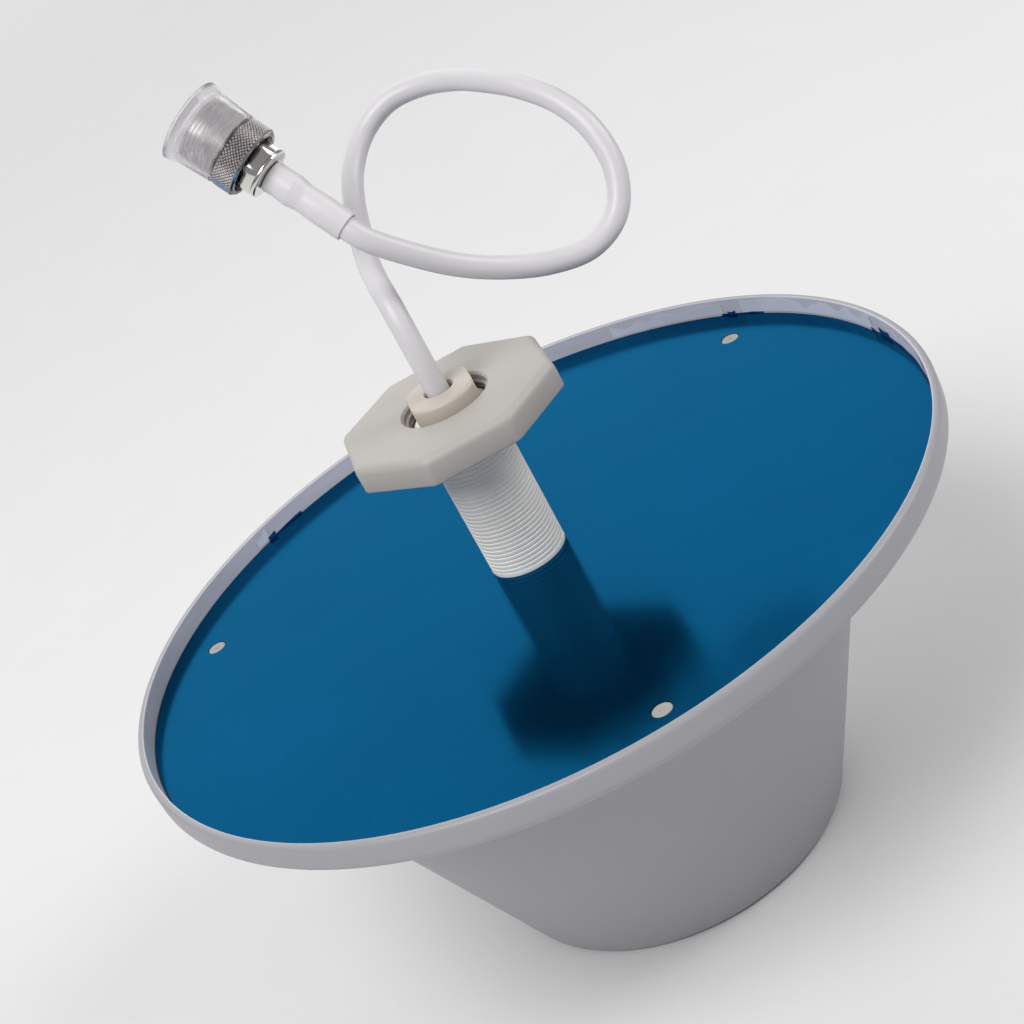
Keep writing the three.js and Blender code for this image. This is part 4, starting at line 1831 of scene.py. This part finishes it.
        edit(nut)
        mesh = bmesh.from_edit_mesh(nut.data)
        grid = {vertex.index for vertex in mesh.verts if on_band(vertex)}
        select(nut, MeshPart.FACE, lambda face: all(on_band(vertex) for vertex in face.verts))
        bpy.ops.mesh.poke(offset=0)
        select(nut, MeshPart.EDGE, is_old)
        bpy.ops.mesh.dissolve_edges(use_verts=False)
        select(nut, MeshPart.FACE,
               lambda face: len(face.verts) == 4 and all(on_band(vertex) for vertex in face.verts))
        bpy.ops.mesh.poke(offset=self.knurl_height * MM)
        clear_selection()

    def make_snap_ring(self) -> Piece:
        """Turn the split ring that keeps the nut on the body."""
        snap = turned("snap_ring_split", ring(4.65, 5.3, 5.75, 6.45, 0.1))
        gap = prism("cutter", 4, 1.2, 5, 7, turn=45)
        settle_in(gap, Matrix.Translation((5.0 * MM, 0, 0)))
        carve(snap, gap)
        settle_in(snap, self.place)
        return finish_piece(snap, STEEL, ["snap_ring"])

    def make_dust_cap(self) -> Piece:
        """Blow the milky cap: a cup with a closed, flared front."""
        front = self.cap_front
        rear = self.knurl_front + self.cap_rear
        cap = turned("dust_cap_milky", [
            (0, front - 0.35),
            (7.6, front - 0.35, 1.0),
            (8.6, front, 0.3),
            (8.95, front - 0.15, 0.25),
            (8.75, front - 1.0, 0.6),
            (8.2, front - 2.6, 1.5),
            (7.75, rear, 0.25),
            (7.2, rear, 0.1),
            (7.35, front - 1.5, 0.5),
            (0, front - 1.1),
        ], Roundness.FINE.value)
        settle_in(cap, self.place)
        return finish_piece(cap, POLYTHENE, ["dust_cap"], Body.DUST_CAP, Smoothing.SOFT)


# ---- studio ------------------------------------------------------------------------------------------


@dataclass
class Softbox:
    """A large square area light that faces the object.

    Attributes:
        name: The light's name.
        place: Where it stands, in metres.
        size: Its side, in metres.
        power: Its power in watts.
    """

    name: str
    place: tuple[float, float, float]
    size: float
    power: float

    def build(self, target: Vector) -> None:
        """Hang the light and turn it to the target."""
        lamp = bpy.data.lights.new(self.name, "AREA")
        lamp.shape = "SQUARE"
        lamp.size = self.size
        lamp.energy = self.power
        holder = bpy.data.objects.new(self.name, lamp)
        holder.location = self.place
        holder.rotation_euler = (target - Vector(self.place)).to_track_quat("-Z", "Y").to_euler()
        bpy.context.scene.collection.objects.link(holder)


@dataclass
class Studio:
    """The pale floor, the soft light and the camera.

    Attributes:
        camera_place: Where the camera stands, in metres.
        elevation: How far it looks down, in degrees.
        roll: How far it is rolled, in degrees.
        lens: Its focal length in millimetres.
        sensor: The width of its sensor in millimetres.
        view_limit: How far it sees, in metres.
        sky: The strength of the white sky.
        light_target: What the softboxes face, in metres.
        floor_size: The floor's side, in metres.
        softboxes: The lights.
    """

    camera_place: tuple[float, float, float] = (0.00108, -0.38841, 0.27704)
    elevation: float = 25.71
    roll: float = 28.81
    lens: float = 71.64
    sensor: float = 36
    view_limit: float = 50
    sky: float = 0.27
    light_target: tuple[float, float, float] = (0, 0, 0.08)
    floor_size: float = 12
    softboxes: tuple[Softbox, ...] = (
        Softbox("key_above_left", (-0.8, -0.95, 1.7), 1.2, 32),
        Softbox("fill_right", (1.5, -0.1, 1.1), 0.9, 12),
        Softbox("back_wall", (-0.35, 2.2, 1.15), 3.4, 36),
    )

    def build_camera(self) -> None:
        """Aim the camera down at the antenna, rolled so that the stem leans left."""
        camera = bpy.data.cameras.new("camera")
        camera.lens = self.lens
        camera.sensor_width = self.sensor
        camera.clip_end = self.view_limit
        holder = bpy.data.objects.new("camera", camera)
        tilt = Matrix.Rotation(math.radians(90 - self.elevation), 4, "X")
        roll = Matrix.Rotation(math.radians(-self.roll), 4, "Z")
        holder.matrix_world = Matrix.Translation(self.camera_place) @ tilt @ roll
        bpy.context.scene.collection.objects.link(holder)
        bpy.context.scene.camera = holder

    def build_light(self) -> None:
        """Set the sky and the softboxes."""
        scene = bpy.context.scene
        scene.view_settings.view_transform = "Standard"
        world = bpy.data.worlds.new("studio")
        world.use_nodes = True
        background = world.node_tree.nodes["Background"]
        background.inputs["Color"].default_value = (*WHITE, 1)
        background.inputs["Strength"].default_value = self.sky
        scene.world = world
        for softbox in self.softboxes:
            softbox.build(Vector(self.light_target))

    def build_floor(self) -> None:
        """Lay the pale floor."""
        clear_selection()
        bpy.ops.mesh.primitive_plane_add(size=self.floor_size)
        floor = bpy.context.object
        floor.name = "studio_floor"
        paint = MouldedPlastic("pale_floor", Slot.WHITE_ABS, (0.76, 0.76, 0.76), 0.7, grain=0.0,
                               mottle=0.01)
        floor.data.materials.append(paint.material())


def main() -> None:
    """Build the antenna, sub-assembly by sub-assembly, and its studio."""
    logging.basicConfig(level=logging.INFO, format="%(message)s")
    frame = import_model()
    studio = Studio()
    studio.build_camera()
    place = plug_frame(frame)
    cable = Lead(place)
    lead, length = cable.build()
    sleeve_pieces = cable.build_sleeve()
    connector_pieces = Connector(place).build()
    Radome().build()
    GroundPlate().build()
    Stem().build()
    ClampNut().build()
    CablePlug().build()
    Feed().build()
    Radiator().build(frame)
    studio.build_floor()
    studio.build_light()


if __name__ == "__main__":
    main()
